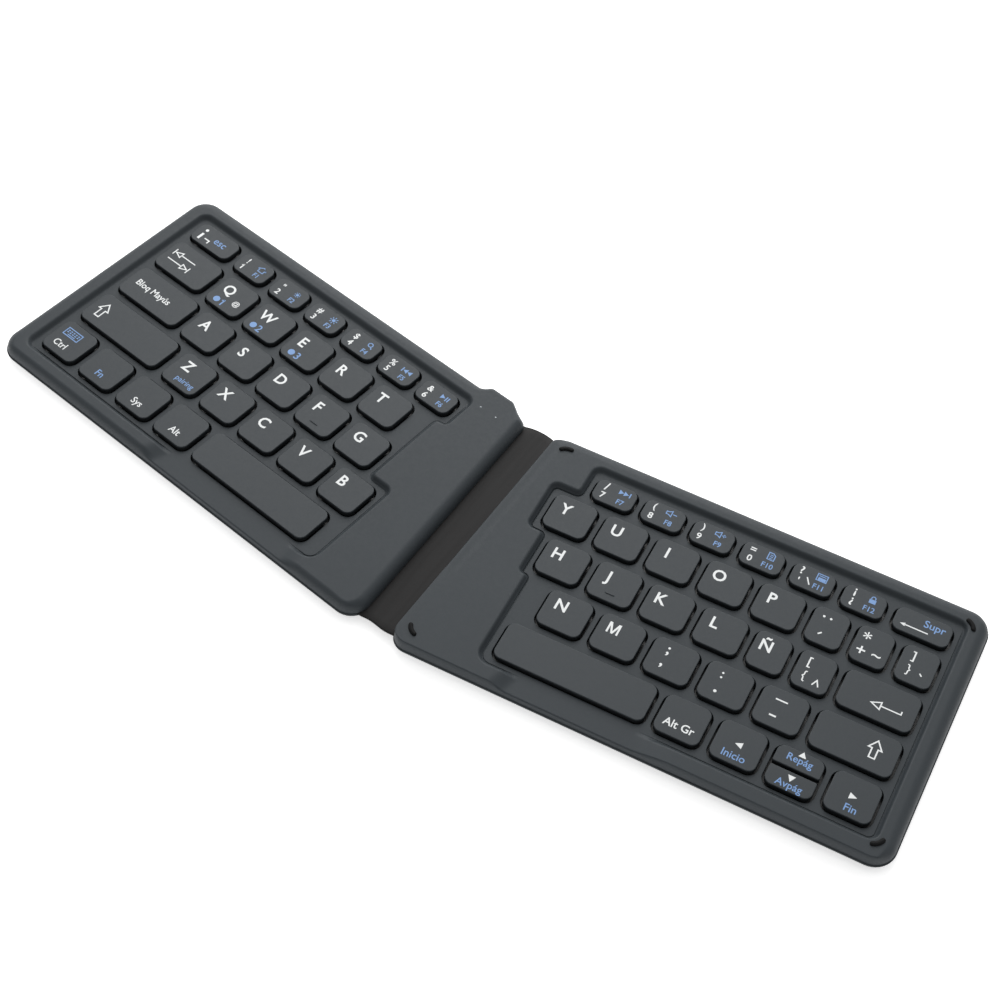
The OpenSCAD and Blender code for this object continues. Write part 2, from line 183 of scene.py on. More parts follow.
def leather(name, colour, rough):
    """Coated leather-like sheet: small rounded cells with fine creases that run along the fold."""
    mat, nt, bsdf = new_material(name)
    tc = nt.nodes.new("ShaderNodeTexCoord")
    co = tc.outputs["Object"]
    cells = nt.nodes.new("ShaderNodeTexVoronoi")
    cells.inputs["Scale"].default_value = 1600
    nt.links.new(co, cells.inputs["Vector"])
    stretch = nt.nodes.new("ShaderNodeMapping")
    stretch.inputs["Scale"].default_value = (1.0, 0.06, 1.0)
    nt.links.new(co, stretch.inputs["Vector"])
    crease = noise(nt, stretch.outputs[0], 500, 3)
    slow = noise(nt, co, 40, 3)
    tint = mix_colour(nt, ramp(nt, slow, 0, 1), tuple(c * 0.88 for c in colour), tuple(c * 1.12 for c in colour))
    pores = mix_colour(nt, ramp(nt, cells.outputs["Distance"], 0, 1, 0.1, 0.6), tuple(c * 1.08 for c in colour), tuple(c * 0.85 for c in colour))
    both = nt.nodes.new("ShaderNodeMix")
    both.data_type = "RGBA"
    both.inputs[0].default_value = 0.45
    nt.links.new(tint.outputs[2], both.inputs[6])
    nt.links.new(pores.outputs[2], both.inputs[7])
    nt.links.new(both.outputs[2], bsdf.inputs["Base Color"])
    nt.links.new(ramp(nt, crease, rough - 0.03, rough + 0.03), bsdf.inputs["Roughness"])
    b1 = nt.nodes.new("ShaderNodeBump")
    b1.inputs["Strength"].default_value = 0.35
    b1.inputs["Distance"].default_value = 0.03 * MM
    b1.invert = True
    nt.links.new(cells.outputs["Distance"], b1.inputs["Height"])
    b2 = nt.nodes.new("ShaderNodeBump")
    b2.inputs["Strength"].default_value = 0.2
    b2.inputs["Distance"].default_value = 0.02 * MM
    nt.links.new(crease, b2.inputs["Height"])
    nt.links.new(b1.outputs[0], b2.inputs["Normal"])
    nt.links.new(b2.outputs[0], bsdf.inputs["Normal"])
    bsdf.inputs["Specular IOR Level"].default_value = 0.2
    return mat


def metal(name, colour, rough, stretch=(1, 0.05, 1), scale=900):
    mat, nt, bsdf = new_material(name)
    tc = nt.nodes.new("ShaderNodeTexCoord")
    mp = nt.nodes.new("ShaderNodeMapping")
    mp.inputs["Scale"].default_value = stretch
    nt.links.new(tc.outputs["Object"], mp.inputs["Vector"])
    brush = noise(nt, mp.outputs[0], scale, 4, 0.6)
    tint = mix_colour(nt, ramp(nt, brush, 0, 1), tuple(c * 0.85 for c in colour), tuple(min(1, c * 1.1) for c in colour))
    nt.links.new(tint.outputs[2], bsdf.inputs["Base Color"])
    nt.links.new(ramp(nt, brush, rough - 0.06, rough + 0.08), bsdf.inputs["Roughness"])
    bsdf.inputs["Metallic"].default_value = 1
    bump = nt.nodes.new("ShaderNodeBump")
    bump.inputs["Strength"].default_value = 0.2
    bump.inputs["Distance"].default_value = 0.01 * MM
    nt.links.new(brush, bump.inputs["Height"])
    nt.links.new(bump.outputs[0], bsdf.inputs["Normal"])
    return mat


def board_material(name):
    """Solder mask over a faint pattern of square copper areas."""
    mat, nt, bsdf = new_material(name)
    tc = nt.nodes.new("ShaderNodeTexCoord")
    tiles = nt.nodes.new("ShaderNodeTexVoronoi")
    tiles.distance = "CHEBYCHEV"
    tiles.inputs["Scale"].default_value = 450
    nt.links.new(tc.outputs["Object"], tiles.inputs["Vector"])
    tint = mix_colour(nt, ramp(nt, tiles.outputs["Distance"], 0, 1, 0.35, 0.45), (0.02, 0.14, 0.05), (0.012, 0.09, 0.035))
    nt.links.new(tint.outputs[2], bsdf.inputs["Base Color"])
    fine = noise(nt, tc.outputs["Object"], 3000, 2)
    nt.links.new(ramp(nt, fine, 0.25, 0.4), bsdf.inputs["Roughness"])
    bump = nt.nodes.new("ShaderNodeBump")
    bump.inputs["Distance"].default_value = 0.03 * MM
    bump.inputs["Strength"].default_value = 0.4
    nt.links.new(tiles.outputs["Distance"], bump.inputs["Height"])
    nt.links.new(bump.outputs[0], bsdf.inputs["Normal"])
    return mat


def ink(name, colour, rough=0.5):
    """Screen-printed or laser-cleared ink: slightly uneven cover over its ground."""
    mat, nt, bsdf = new_material(name)
    tc = nt.nodes.new("ShaderNodeTexCoord")
    n = noise(nt, tc.outputs["Object"], 5000, 3)
    tint = mix_colour(nt, ramp(nt, n, 0, 1), tuple(c * 0.9 for c in colour), colour)
    nt.links.new(tint.outputs[2], bsdf.inputs["Base Color"])
    nt.links.new(ramp(nt, n, rough - 0.05, rough + 0.05), bsdf.inputs["Roughness"])
    bsdf.inputs["Specular IOR Level"].default_value = 0.3
    return mat


COVER = moulded("cover_plastic", (0.0362, 0.0428, 0.0482), 0.5, grain=0.25, depth=0.014, spec=0.2)
TRAY = moulded("tray_plastic", (0.033, 0.038, 0.042), 0.56, grain=0.35, depth=0.03, spec=0.2)
# key sides below 7 mm are darkened: partly a darker moulded skirt, partly painted shade of the narrow gaps around the
# keys
KEYCAP = moulded("key_plastic", (0.0360, 0.0423, 0.0473), 0.48, grain=0.2, depth=0.01, spec=0.24, side=(7.0, 0.5, 0.34))
STRIP = leather("strip_skin", (0.0094, 0.0088, 0.0088), 0.6)
RUBBER = moulded("foot_rubber", (0.012, 0.012, 0.0125), 0.6, grain=0.3, depth=0.02, spec=0.3)
BUMPER = moulded("bumper_rubber", (0.004, 0.0042, 0.0044), 0.6, grain=0.3, depth=0.015, spec=0.12)
WHITE = ink("legend_white", (0.80, 0.82, 0.82))
BLUE = ink("legend_blue", (0.185, 0.325, 0.60))
# plate_steel is near black: partly its own dark finish, partly painted shade deep in the key gaps
STEEL = metal("plate_steel", (0.04, 0.041, 0.043), 0.5)
PORT = metal("socket_steel", (0.62, 0.62, 0.64), 0.28, stretch=(1, 1, 0.05))
MAGNET = metal("magnet", (0.55, 0.55, 0.57), 0.3)
CELL = metal("cell_foil", (0.32, 0.35, 0.42), 0.42, stretch=(1, 1, 1), scale=1500)
# contact_film and link_nylon are near black: partly their own dark colour, partly painted shade in the key gaps
FILM = moulded("contact_film", (0.012, 0.0125, 0.014), 0.35, grain=0.5, depth=0.01)
NYLON = moulded("link_nylon", (0.010, 0.010, 0.011), 0.5, grain=0.4, depth=0.01)
SILICONE = moulded("dome_silicone", (0.05, 0.05, 0.053), 0.4, grain=0.5, depth=0.01)
FLEX = moulded("flex_film", (0.5, 0.25, 0.06), 0.35, grain=0.5, depth=0.01)
BOARD = board_material("board")
LENS = moulded("light_pipe", (0.20, 0.22, 0.24), 0.2, grain=0.4, depth=0.004, spread=0.02, coat=0.2)


# ------------------------------------------------------------------ plan helpers
def unit(a):
    return a / np.linalg.norm(a)


def rounded(P, n=10, step=None):
    """Points of the polygon [u, v, corner radius] with its corners rounded, and long edges cut into steps."""
    out = []
    k = len(P)
    for i in range(k):
        a, b, c = (np.array(P[j % k][:2], float) for j in (i - 1, i, i + 1))
        r = P[i][2]
        p, q = unit(a - b), unit(c - b)
        h = math.acos(max(-1, min(1, float(p @ q)))) / 2
        t = r / math.tan(h)
        mid = b + unit(p + q) * (r / math.sin(h))
        s, e = b + p * t, b + q * t
        a0 = math.atan2(*(s - mid)[::-1])
        a1 = math.atan2(*(e - mid)[::-1])
        d = (a1 - a0 + 3 * math.pi) % (2 * math.pi) - math.pi
        out += [mid + r * np.array([math.cos(a0 + d * j / n), math.sin(a0 + d * j / n)]) for j in range(n + 1)]
    if step is None:
        return np.array(out)
    full = []
    for i, a in enumerate(out):
        b = out[(i + 1) % len(out)]
        length = np.linalg.norm(b - a)
        mid = (a + b) / 2
        w = step(mid) if callable(step) else step
        cuts = max(1, int(math.ceil(length / w)))
        if cuts > 1 and callable(step):
            s = 0.0
            full.append(a)
            while True:
                s += step(a + (b - a) * min(1, s / length))
                if s > length - 0.3:
                    break
                full.append(a + (b - a) * s / length)
        else:
            full += [a + (b - a) * j / cuts for j in range(cuts)]
    return np.array(full)


def inset(P, d):
    out = []
    k = len(P)
    for i in range(k):
        a, b, c = (np.array(P[j % k][:2], float) for j in (i - 1, i, i + 1))
        e, f = unit(b - a), unit(c - b)
        n, mm = np.array([-e[1], e[0]]), np.array([-f[1], f[0]])
        g = (n + mm) * d / (1 + n @ mm)
        turn = e[0] * f[1] - e[1] * f[0]
        out.append([b[0] + g[0], b[1] + g[1], max(0.3, P[i][2] + (-d if turn > 0 else d))])
    return out


def box_poly(k, g=0.0, r=2.6):
    u, v, w, d = k[:4]
    kind = k[4] if len(k) > 4 else 0
    a = max(0.3, (0.6 if kind == 1 else r) + g)
    b = max(0.3, (0.6 if kind == 2 else r) + g)
    return [[u - g, v - g, a], [u + w + g, v - g, a], [u + w + g, v + d + g, b], [u - g, v + d + g, b]]


def inside(pts, poly):
    x, y = pts[:, 0][:, None], pts[:, 1][:, None]
    a, b = poly, np.roll(poly, -1, 0)
    ay, by = a[:, 1][None], b[:, 1][None]
    ax, bx = a[:, 0][None], b[:, 0][None]
    cross = (ay > y) != (by > y)
    with np.errstate(divide="ignore", invalid="ignore"):
        xs = ax + (y - ay) * (bx - ax) / (by - ay)
    return (np.sum(cross & (x < xs), 1) % 2) == 1


def signed(pts, poly):
    """Distance to the outline, positive inside."""
    out = np.empty(len(pts))
    a, b = poly, np.roll(poly, -1, 0)
    e = b - a
    l2 = (e ** 2).sum(1)
    l2[l2 == 0] = 1
    for i in range(0, len(pts), 2000):
        p = pts[i:i + 2000]
        t = np.clip(((p[:, None] - a[None]) * e[None]).sum(2) / l2, 0, 1)
        q = a[None] + t[..., None] * e[None]
        d = np.sqrt(((p[:, None] - q) ** 2).sum(2)).min(1)
        out[i:i + 2000] = np.where(inside(p, poly), d, -d)
    return out


def box_signed(pts, k, g, r):
    """Distance to a rounded box, negative inside."""
    u, v, w, d = k
    c = np.array([u + w / 2, v + d / 2])
    h = np.array([w / 2 + g - r, d / 2 + g - r])
    q = np.abs(pts - c) - h
    return np.linalg.norm(np.maximum(q, 0), axis=1) + np.minimum(q.max(1), 0) - r


def smooth(x, a, b):
    t = np.clip((np.asarray(x, float) - a) / (b - a), 0, 1)
    return t * t * (3 - 2 * t)


# ------------------------------------------------------------------ tables
ROW_V = [17.15, 0.05, -17.05, -34.3, -51.55]


def K(u0, u1, row):
    return (u0, ROW_V[row], u1 - u0, 8.9 if row == 0 else 13.8)


def run(row, n, u0, step, w):
    return [K(u0 + i * step, u0 + i * step + w, row) for i in range(n)]


L_NUM = [K(-24.6, -6.55, 0)] + run(0, 6, -3.15, 17.19, 13.95)
L_QWE = run(1, 5, 0.55, 18, 14.75)
L_ASD = run(2, 5, 6.05, 18, 14.75)
L_ZXC = run(3, 5, 15.15, 18, 14.75)
L_MOD = [K(-24.6, -2.8, 1), K(-24.6, 2.84, 2), K(-24.6, 11.4, 3)] + run(4, 4, -24.65, 18, 14.75)
L_SPACE = K(47.45, 97.8, 4)
R_NUM = run(0, 6, 9.95, 17.2, 13.95)
R_BACK = K(113.35, 131.65, 0)
R_YUI = run(1, 5, 0.6, 18, 14.75)
R_HJK = run(2, 4, 6.3, 18, 14.75)
R_ENYE = K(78.15, 89.7, 2)
R_NM = run(3, 2, 15.4, 18, 14.75)
R_PUN = run(1, 3, 90.6, 14.75, 11.6) + [K(92.85, 104.5, 2)] + run(3, 3, 51.35, 18, 14.8)
R_ENTER = K(107.65, 131.7, 2)
R_SPACE = K(9.5, 59.6, 4)
UP_KEY, DOWN_KEY = (98.75, -44.2, 14.9, 6.45, 1), (98.75, -52.1, 14.9, 6.6, 2)   # 1, 2: square corners in front, behind
R_CUR = [K(105.5, 131.7, 3), K(62.75, 77.5, 4), K(80.85, 95.6, 4), UP_KEY, DOWN_KEY, K(116.95, 131.7, 4)]
ALL_L = L_NUM + L_QWE + L_ASD + L_ZXC + L_MOD + [L_SPACE]
ALL_R = R_NUM + [R_BACK] + R_YUI + R_HJK + [R_ENYE] + R_NM + R_PUN + [R_ENTER, R_SPACE] + R_CUR


def opening(k):
    """The opening around a key is a little tighter in front than at its sides."""
    return (k[0], k[1] + 0.17, k[2], k[3] - 0.17)


OPEN_L = [opening(k) for k in ALL_L]
OPEN_R = [opening(k) for k in ALL_R if k not in (UP_KEY, DOWN_KEY)] + [opening((98.75, -52.1, 14.9, 14.35))]

NODES = {}
for i, c in enumerate("qwert"):
    NODES["key_" + c] = ("L", [L_QWE[i]])
for i, c in enumerate("asdfg"):
    NODES["key_" + c] = ("L", [L_ASD[i]])
for i, c in enumerate("zxcvb"):
    NODES["key_" + c] = ("L", [L_ZXC[i]])
for i, c in enumerate("yuiop"):
    NODES["key_" + c] = ("R", [R_YUI[i]])
for i, c in enumerate("hjkl"):
    NODES["key_" + c] = ("R", [R_HJK[i]])
NODES["key_enye"] = ("R", [R_ENYE])
NODES["key_n"], NODES["key_m"] = ("R", [R_NM[0]]), ("R", [R_NM[1]])
NODES["space_left"], NODES["space_right"] = ("L", [L_SPACE]), ("R", [R_SPACE])
NODES["enter_key"], NODES["backspace_key"] = ("R", [R_ENTER]), ("R", [R_BACK])
NODES["number_keys_left"], NODES["modifier_keys_left"] = ("L", L_NUM), ("L", L_MOD)
NODES["number_keys_right"], NODES["punctuation_keys"] = ("R", R_NUM), ("R", R_PUN)
NODES["cursor_shift_keys"] = ("R", R_CUR)

OUT_R = [[-22.0, -61.4, 5.6], [142.2, -61.15, 7.5], [142.1, 36.95, 7.6], [-10.45, 36.95, 6]]
TOP_R = [[-22.05, -61.4, 5.6], [142.2, -61.15, 7.5], [142.1, 36.95, 7.6], [-10.8, 36.95, 6]]    # the top cover overhangs a little at the strip
OUT_L = [[-35.9, -61.3, 7.6], [130.4, -61.3, 7.2], [118.8, 34.2, 3.5], [113.9, 36.4, 2.5], [109.9, 38.9, 3],
         [100.4, 38.9, 3], [98.0, 36.4, 3], [-35.9, 36.4, 7.6]]
WELL_R = [[5.85, -54.8, 4], [135.05, -54.8, 3], [135.05, 29.6, 3], [6.65, 29.55, 3], [6.65, 17.2, 1.6],
          [-2.7, 17.2, 2.4], [-2.7, -2.4, 2.2], [3.1, -2.4, 1.6], [3.1, -19.7, 1.4], [5.85, -19.7, 1.2]]
WELL_L = [[-28.05, -54.75, 3], [105.25, -54.75, 4], [105.25, -17.4, 2.4], [96.2, -17.4, 1.6],
          [96.2, 14.6, 1.6], [100, 14.6, 1.6], [100, 29.05, 3], [-28.05, 29.05, 3]]
LIGHTS = [(103.6, 28.2), (110.2, 28.2)]
PORT_U = 105.2
EDGE_T = 0.45          # the top cover's wall stands this far inside the bottom cover's lip


# ------------------------------------------------------------------ mesh helpers
def build(name, verts, faces, mats, side=None, face_mats=None, smooth_faces=True):
    co = world(side, verts)
    me = bpy.data.meshes.new(name)
    me.from_pydata([tuple(c) for c in co], [], [tuple(int(i) for i in f) for f in faces])
    for mt in mats:
        me.materials.append(mt)
    if face_mats is not None:
        me.polygons.foreach_set("material_index", np.asarray(face_mats, np.int32))
    me.polygons.foreach_set("use_smooth", np.full(len(me.polygons), bool(smooth_faces)))
    me.update()
    ob = bpy.data.objects.new(name, me)
    bpy.context.scene.collection.objects.link(ob)
    return ob


def apply_boolean(ob, cutters):
    for c in cutters:
        md = ob.modifiers.new("cut", "BOOLEAN")
        md.operation = "DIFFERENCE"
        md.solver = "EXACT"
        md.object = c
    dg = bpy.context.evaluated_depsgraph_get()
    me = bpy.data.meshes.new_from_object(ob.evaluated_get(dg))
    ob.modifiers.clear()
    ob.data = me


def stadium(side, u, v0, v1, z, w, h, name="cutter"):
    """A solid with a stadium section, from v0 to v1, used for cutting."""
    ring = []
    r = h / 2
    for s in (1, -1):
        for j in range(13):
            a = -math.pi / 2 + math.pi * j / 12
            ring.append((s * (w / 2 - r) + s * r * math.cos(a), s * r * math.sin(a)))
    n = len(ring)
    verts = [(u + x, v0, z + y) for x, y in ring] + [(u + x, v1, z + y) for x, y in ring]
    faces = [(i, (i + 1) % n, n + (i + 1) % n, n + i) for i in range(n)]
    faces += [tuple(range(n - 1, -1, -1)), tuple(range(n, 2 * n))]
    ob = build(name, verts, faces, [], side)
    bm_fix(ob)
    return ob


def bm_fix(ob):
    import bmesh
    bm = bmesh.new()
    bm.from_mesh(ob.data)
    bmesh.ops.recalc_face_normals(bm, faces=bm.faces)
    bm.to_mesh(ob.data)
    bm.free()


def block(side, u0, u1, v0, v1, z0, z1, name="cutter"):
    verts = [(u, v, z) for z in (z0, z1) for v in (v0, v1) for u in (u0, u1)]
    faces = [(0, 2, 3, 1), (4, 5, 7, 6), (0, 1, 5, 4), (2, 6, 7, 3), (0, 4, 6, 2), (1, 3, 7, 5)]
    ob = build(name, verts, faces, [], side)
    bm_fix(ob)
    return ob


# ------------------------------------------------------------------ the covers' surface
def outer_drop(t, x0):
    """How far the rim has dropped, t mm inside the outline: a quarter round that starts x0 mm inside it."""
    y = np.clip((x0 - t) / (x0 - EDGE_T), 0, 1)
    return 3.7 * (1 - np.sqrt(np.clip(1 - y ** 2.1, 0, 1)))


def scoop(side, p):
    """1 where the front edge is lowered to the level of the recessed floor."""
    u, v = p[:, 0], p[:, 1]
    lean = (v + 54) * -0.35
    if side == "R":
        s = smooth(u + lean, 14.5, 21) * (1 - smooth(u - lean * 0.6, 58, 72))
    else:
        s = smooth(u + lean, 35, 42.5) * (1 - smooth(u - lean, 94, 102.5))
    return s * (v < -40)


def rim_start(side, p):
    """Distance from the edge at which the rim begins to fall: short in front, longer elsewhere."""
    u, v = p[:, 0], p[:, 1]
    if side == "R":
        a, b = np.array([-22.05, -61.4]), np.array([-10.8, 36.95])
        e = unit(b - a)
        d = (u - a[0]) * e[1] - (v - a[1]) * e[0]
        beside = np.maximum(142.15 - u, 0)
        front = np.maximum(v + 61.4, 0)
        x0 = 1.2 + 3.1 * smooth(front / (front + beside + 1e-6), 0.25, 0.75)
        x0 = np.where(v > -30, 4.3 + 0.7 * smooth((36.95 - v) / (beside + 1e-6), 1.5, 0.6), x0)
        return 0.78 + (x0 - 0.78) * smooth(d, 0.3, 4.5)
    a, b = np.array([130.4, -61.3]), np.array([118.8, 34.2])
    e = unit(b - a)
    d = (v - a[1]) * e[0] * -1 + (u - a[0]) * e[1]
    beside = np.maximum(np.minimum(u + 35.9, -d), 0)
    front = np.maximum(v + 61.3, 0)
    x0 = 2.9 + 1.4 * smooth(front / (front + beside + 1e-6), 0.25, 0.75)
    x0 = np.where(v > -30, 4.3, x0) + 0.7 * (1 - smooth(u, 60, 95)) * smooth(front, 3, 12) - 0.35 * (1 - smooth(-d, 6, 12))
    bump = smooth(u, 96, 100.5) * (1 - smooth(u, 110.5, 117)) * smooth(v, 28, 32)
    return x0 - 1.5 * bump


POLY = {}
for side, out, well in (("L", OUT_L, WELL_L), ("R", TOP_R, WELL_R)):
    POLY[side] = (rounded(out, 16), rounded(well, 12))

GRID_U, GRID_V, GRID_H = -40.0, -66.0, 0.2


def wall_run(side, p):
    """Half the width of the recess's sloping wall: steep beside the strip and in front, gentler elsewhere."""
    u, v = p[:, 0], p[:, 1]
    if side == "L":
        return 0.6 + 0.22 * np.maximum(1 - smooth(u, -26.5, -23), smooth(v, 26.5, 28.2))
    return 0.6 + 0.12 * smooth(v, 27, 28.7) * (1 - smooth(u, 131, 134)) - 0.35 * smooth(u, 131, 134)


def groove_depth(side, p):
    """Depth of the fine groove at the wall's foot: clear beside the strip, faint or none elsewhere."""
    u, v = p[:, 0], p[:, 1]
    if side == "L":
        k = 0.34 - 0.2 * smooth(u, 88, 95) * smooth(v, -53, -50)
        return k * smooth(u, -27, -22) * (1 - smooth(v, 24, 27.5))
    k = 0.42 - 0.2 * np.maximum(smooth(u, 10, 20), 1 - smooth(v, -30, -22))
    return k * (1 - smooth(v, 25, 28))


def soft_plan(side):
    """How much of the rim's height each point of the plan has, 0 in the recess and 1 on the deck,
    on a grid and slightly blurred, so that the recess has soft corners."""
    u = np.arange(GRID_U, 147, GRID_H)
    v = np.arange(GRID_V, 43, GRID_H)
    U, V = np.meshgrid(u, v)
    p = np.c_[U.ravel(), V.ravel()]
    s = -signed(p, POLY[side][1])
    w = wall_run(side, p)
    t = np.clip(s / w * 0.5 + 0.5, 0, 1)
    g = (t * t * (3 - 2 * t) * (1 - scoop(side, p))).reshape(U.shape)
    k = np.exp(-0.5 * (np.arange(-5, 6) * GRID_H / 0.3) ** 2)
    k /= k.sum()
    for axis in (0, 1):
        q = np.zeros_like(g)
        for i, w in enumerate(k):
            q += w * np.roll(g, i - 5, axis)
        g = q
    return g


PLAN = {side: soft_plan(side) for side in "LR"}


def sample(g, p):
    """Cubic interpolation of the grid."""
    x = np.clip((p[:, 0] - GRID_U) / GRID_H, 2, g.shape[1] - 4)
    y = np.clip((p[:, 1] - GRID_V) / GRID_H, 2, g.shape[0] - 4)
    i, j = np.floor(x).astype(int), np.floor(y).astype(int)

    def weights(f):
        return (-0.5 * f + f ** 2 - 0.5 * f ** 3, 1 - 2.5 * f ** 2 + 1.5 * f ** 3,
                0.5 * f + 2 * f ** 2 - 1.5 * f ** 3, -0.5 * f ** 2 + 0.5 * f ** 3)

    wx, wy = weights(x - i), weights(y - j)
    out = np.zeros(len(p))
    for a in range(4):
        for b in range(4):
            out += wy[a] * wx[b] * g[j + a - 1, i + b - 1]
    return out


FOOT = 0.82            # the fine groove lies this far inside the recess's outline


def surface(side, p, holes=True):
    """Height of the cover's top surface."""
    out, well = POLY[side]
    t = signed(p, out)
    s = -signed(p, well)                      # positive on the deck, negative in the well
    deck = sample(PLAN[side], p)
    high = RIM_Z - outer_drop(t, rim_start(side, p))
    if side == "R":                           # the deck falls very slightly towards the strip
        e = unit(np.array([11.25, 98.35]))
        high = high - 0.1 * np.clip(1 - ((p[:, 0] + 22.05) * e[1] - (p[:, 1] + 61.4) * e[0]) / 3.2, 0, 1) ** 2
    y = np.clip((0.95 - t) / (0.95 - EDGE_T), 0, 1)
    low = FLOOR_Z - 0.6 * (1 - np.sqrt(np.clip(1 - y ** 2, 0, 1))) - 1.3 * smooth(y, 0.8, 1.0)
    groove = groove_depth(side, p) * np.exp(-(np.abs(s + FOOT) / 0.19) ** 4) * (1 - scoop(side, p))
    z = high * deck + low * (1 - deck) - groove
    if holes:
        for k in (OPEN_L if side == "L" else OPEN_R):
            near = (p[:, 0] > k[0] - 2) & (p[:, 0] < k[0] + k[2] + 2) & (p[:, 1] > k[1] - 2) & (p[:, 1] < k[1] + k[3] + 2)
            if near.any():
                d = box_signed(p[near], k, GAP, 2.6 + GAP)
                y = np.clip(1 - d / 0.14, 0, 1)
                z[near] -= 0.14 * (1 - np.sqrt(np.clip(1 - y * y, 0, 1)))
    return z


def triangulate(loops, rings, outline, holes):
    pts, edges = [], []
    for ring in loops + rings:
        n0 = len(pts)
        pts += [Vector((float(a), float(b))) for a, b in ring]
        m = len(ring)
        edges += [(n0 + i, n0 + (i + 1) % m) for i in range(m)]
    vs, _, fs, *_ = delaunay_2d_cdt(pts, edges, [], 0, 1e-6)
    vs = np.array([tuple(v) for v in vs])
    fs = np.array([tuple(f) for f in fs])
    cen = vs[fs].mean(1)
    keep = inside(cen, outline)
    for h in holes:
        lo, hi = h.min(0), h.max(0)
        near = keep & (cen[:, 0] > lo[0]) & (cen[:, 0] < hi[0]) & (cen[:, 1] > lo[1]) & (cen[:, 1] < hi[1])
        idx = np.where(near)[0]
        if len(idx):
            keep[idx[inside(cen[idx], h)]] = False
    fs = fs[keep]
    e1, e2 = vs[fs[:, 1]] - vs[fs[:, 0]], vs[fs[:, 2]] - vs[fs[:, 0]]
    flip = (e1[:, 0] * e2[:, 1] - e1[:, 1] * e2[:, 0]) < 0
    fs[flip] = fs[flip][:, ::-1]
    return vs, fs


def boundary(fs):
    count = {}
    for f in fs:
        for i in range(3):
            a, b = int(f[i]), int(f[(i + 1) % 3])
            count[(a, b)] = 1
    return [(a, b) for (a, b) in count if (b, a) not in count]


def top_cover(side):
    P, W = (OUT_L, WELL_L) if side == "L" else (TOP_R, WELL_R)
    keys = OPEN_L if side == "L" else OPEN_R

    def step(q):
        u, v = q
        if v < -50:
            ends = (10, 24, 52, 78) if side == "R" else (30, 48, 88, 110)
            if ends[0] < u < ends[1] or ends[2] < u < ends[3]:
                return 1.1
        if side == "L" and v > 28 and 94 < u < 121:
            return 1.2
        if side == "R" and u < 6:
            return 1.8
        return 4.0

    loops = [rounded(inset(P, EDGE_T), 12, step)]
    holes = [rounded(box_poly(k, GAP), 6) for k in keys]
    ts = [0.47, 0.51, 0.58, 0.68, 0.8, 0.95, 1.1, 1.3, 1.6, 1.9, 2.2, 2.5, 2.8, 3.1, 3.45, 3.8, 4.2, 4.6, 5.0]
    rings = [rounded(inset(P, t), 12, step) for t in ts]
    for s in (1.5, 1.2, 0.95, 0.75, 0.55, 0.4, 0.25, 0.1, -0.05, -0.2, -0.35, -0.5, -0.6, -0.65, -0.7, -0.82, -0.94, -0.99, -1.04, -1.12, -1.3, -1.7):
        rings.append(rounded(inset(W, -s), 8, step))
    for k in keys:
        for g in (0.01, 0.035, 0.075, 0.13, 0.18):
            rings.append(rounded(box_poly(k, GAP + g), 6))
    vs, fs = triangulate(loops + holes, rings, loops[0], holes)
    z = surface(side, vs)
    top = np.c_[vs, z]
    # underside, from the same border points
    edge = boundary(fs)
    on_edge = sorted({a for a, b in edge})
    index = {a: i for i, a in enumerate(on_edge)}
    bp = vs[on_edge]
    low_rings = [rounded(inset(P, 1.7), 10, 6.0), rounded(inset(P, 3.1), 10, 6.0)]
    pts = [Vector((float(a), float(b))) for a, b in bp]
    cons = [(index[a], index[b]) for a, b in edge]
    for ring in low_rings:
        n0 = len(pts)
        pts += [Vector((float(a), float(b))) for a, b in ring]
        cons += [(n0 + i, n0 + (i + 1) % len(ring)) for i in range(len(ring))]
    v2, _, f2, ov, *_ = delaunay_2d_cdt(pts, cons, [], 0, 1e-6)
    v2 = np.array([tuple(v) for v in v2])
    f2 = np.array([tuple(f) for f in f2])
    cen = v2[f2].mean(1)
    keep = inside(cen, loops[0])
    for h in holes:
        idx = np.where(keep & (np.abs(cen - h.mean(0)) < (h.max(0) - h.min(0)) / 2).all(1))[0]
        if len(idx):
            keep[idx[inside(cen[idx], h)]] = False
    f2 = f2[keep]
    e1, e2 = v2[f2[:, 1]] - v2[f2[:, 0]], v2[f2[:, 2]] - v2[f2[:, 0]]
    up_ = (e1[:, 0] * e2[:, 1] - e1[:, 1] * e2[:, 0]) > 0
    f2[up_] = f2[up_][:, ::-1]
    t2 = signed(v2, POLY[side][0])
    z2 = np.where(t2 < 2.2, PART_Z + 0.02, FLOOR_Z - 1.0)
    low = np.c_[v2, z2]
    where = {}
    for i, src in enumerate(ov):
        for o in src:
            where[o] = i
    n = len(top)
    faces = [tuple(f) for f in fs] + [tuple(n + f) for f in f2]
    for a, b in edge:
        faces.append((b, a, n + where[index[a]], n + where[index[b]]))
    return np.r_[top, low], faces


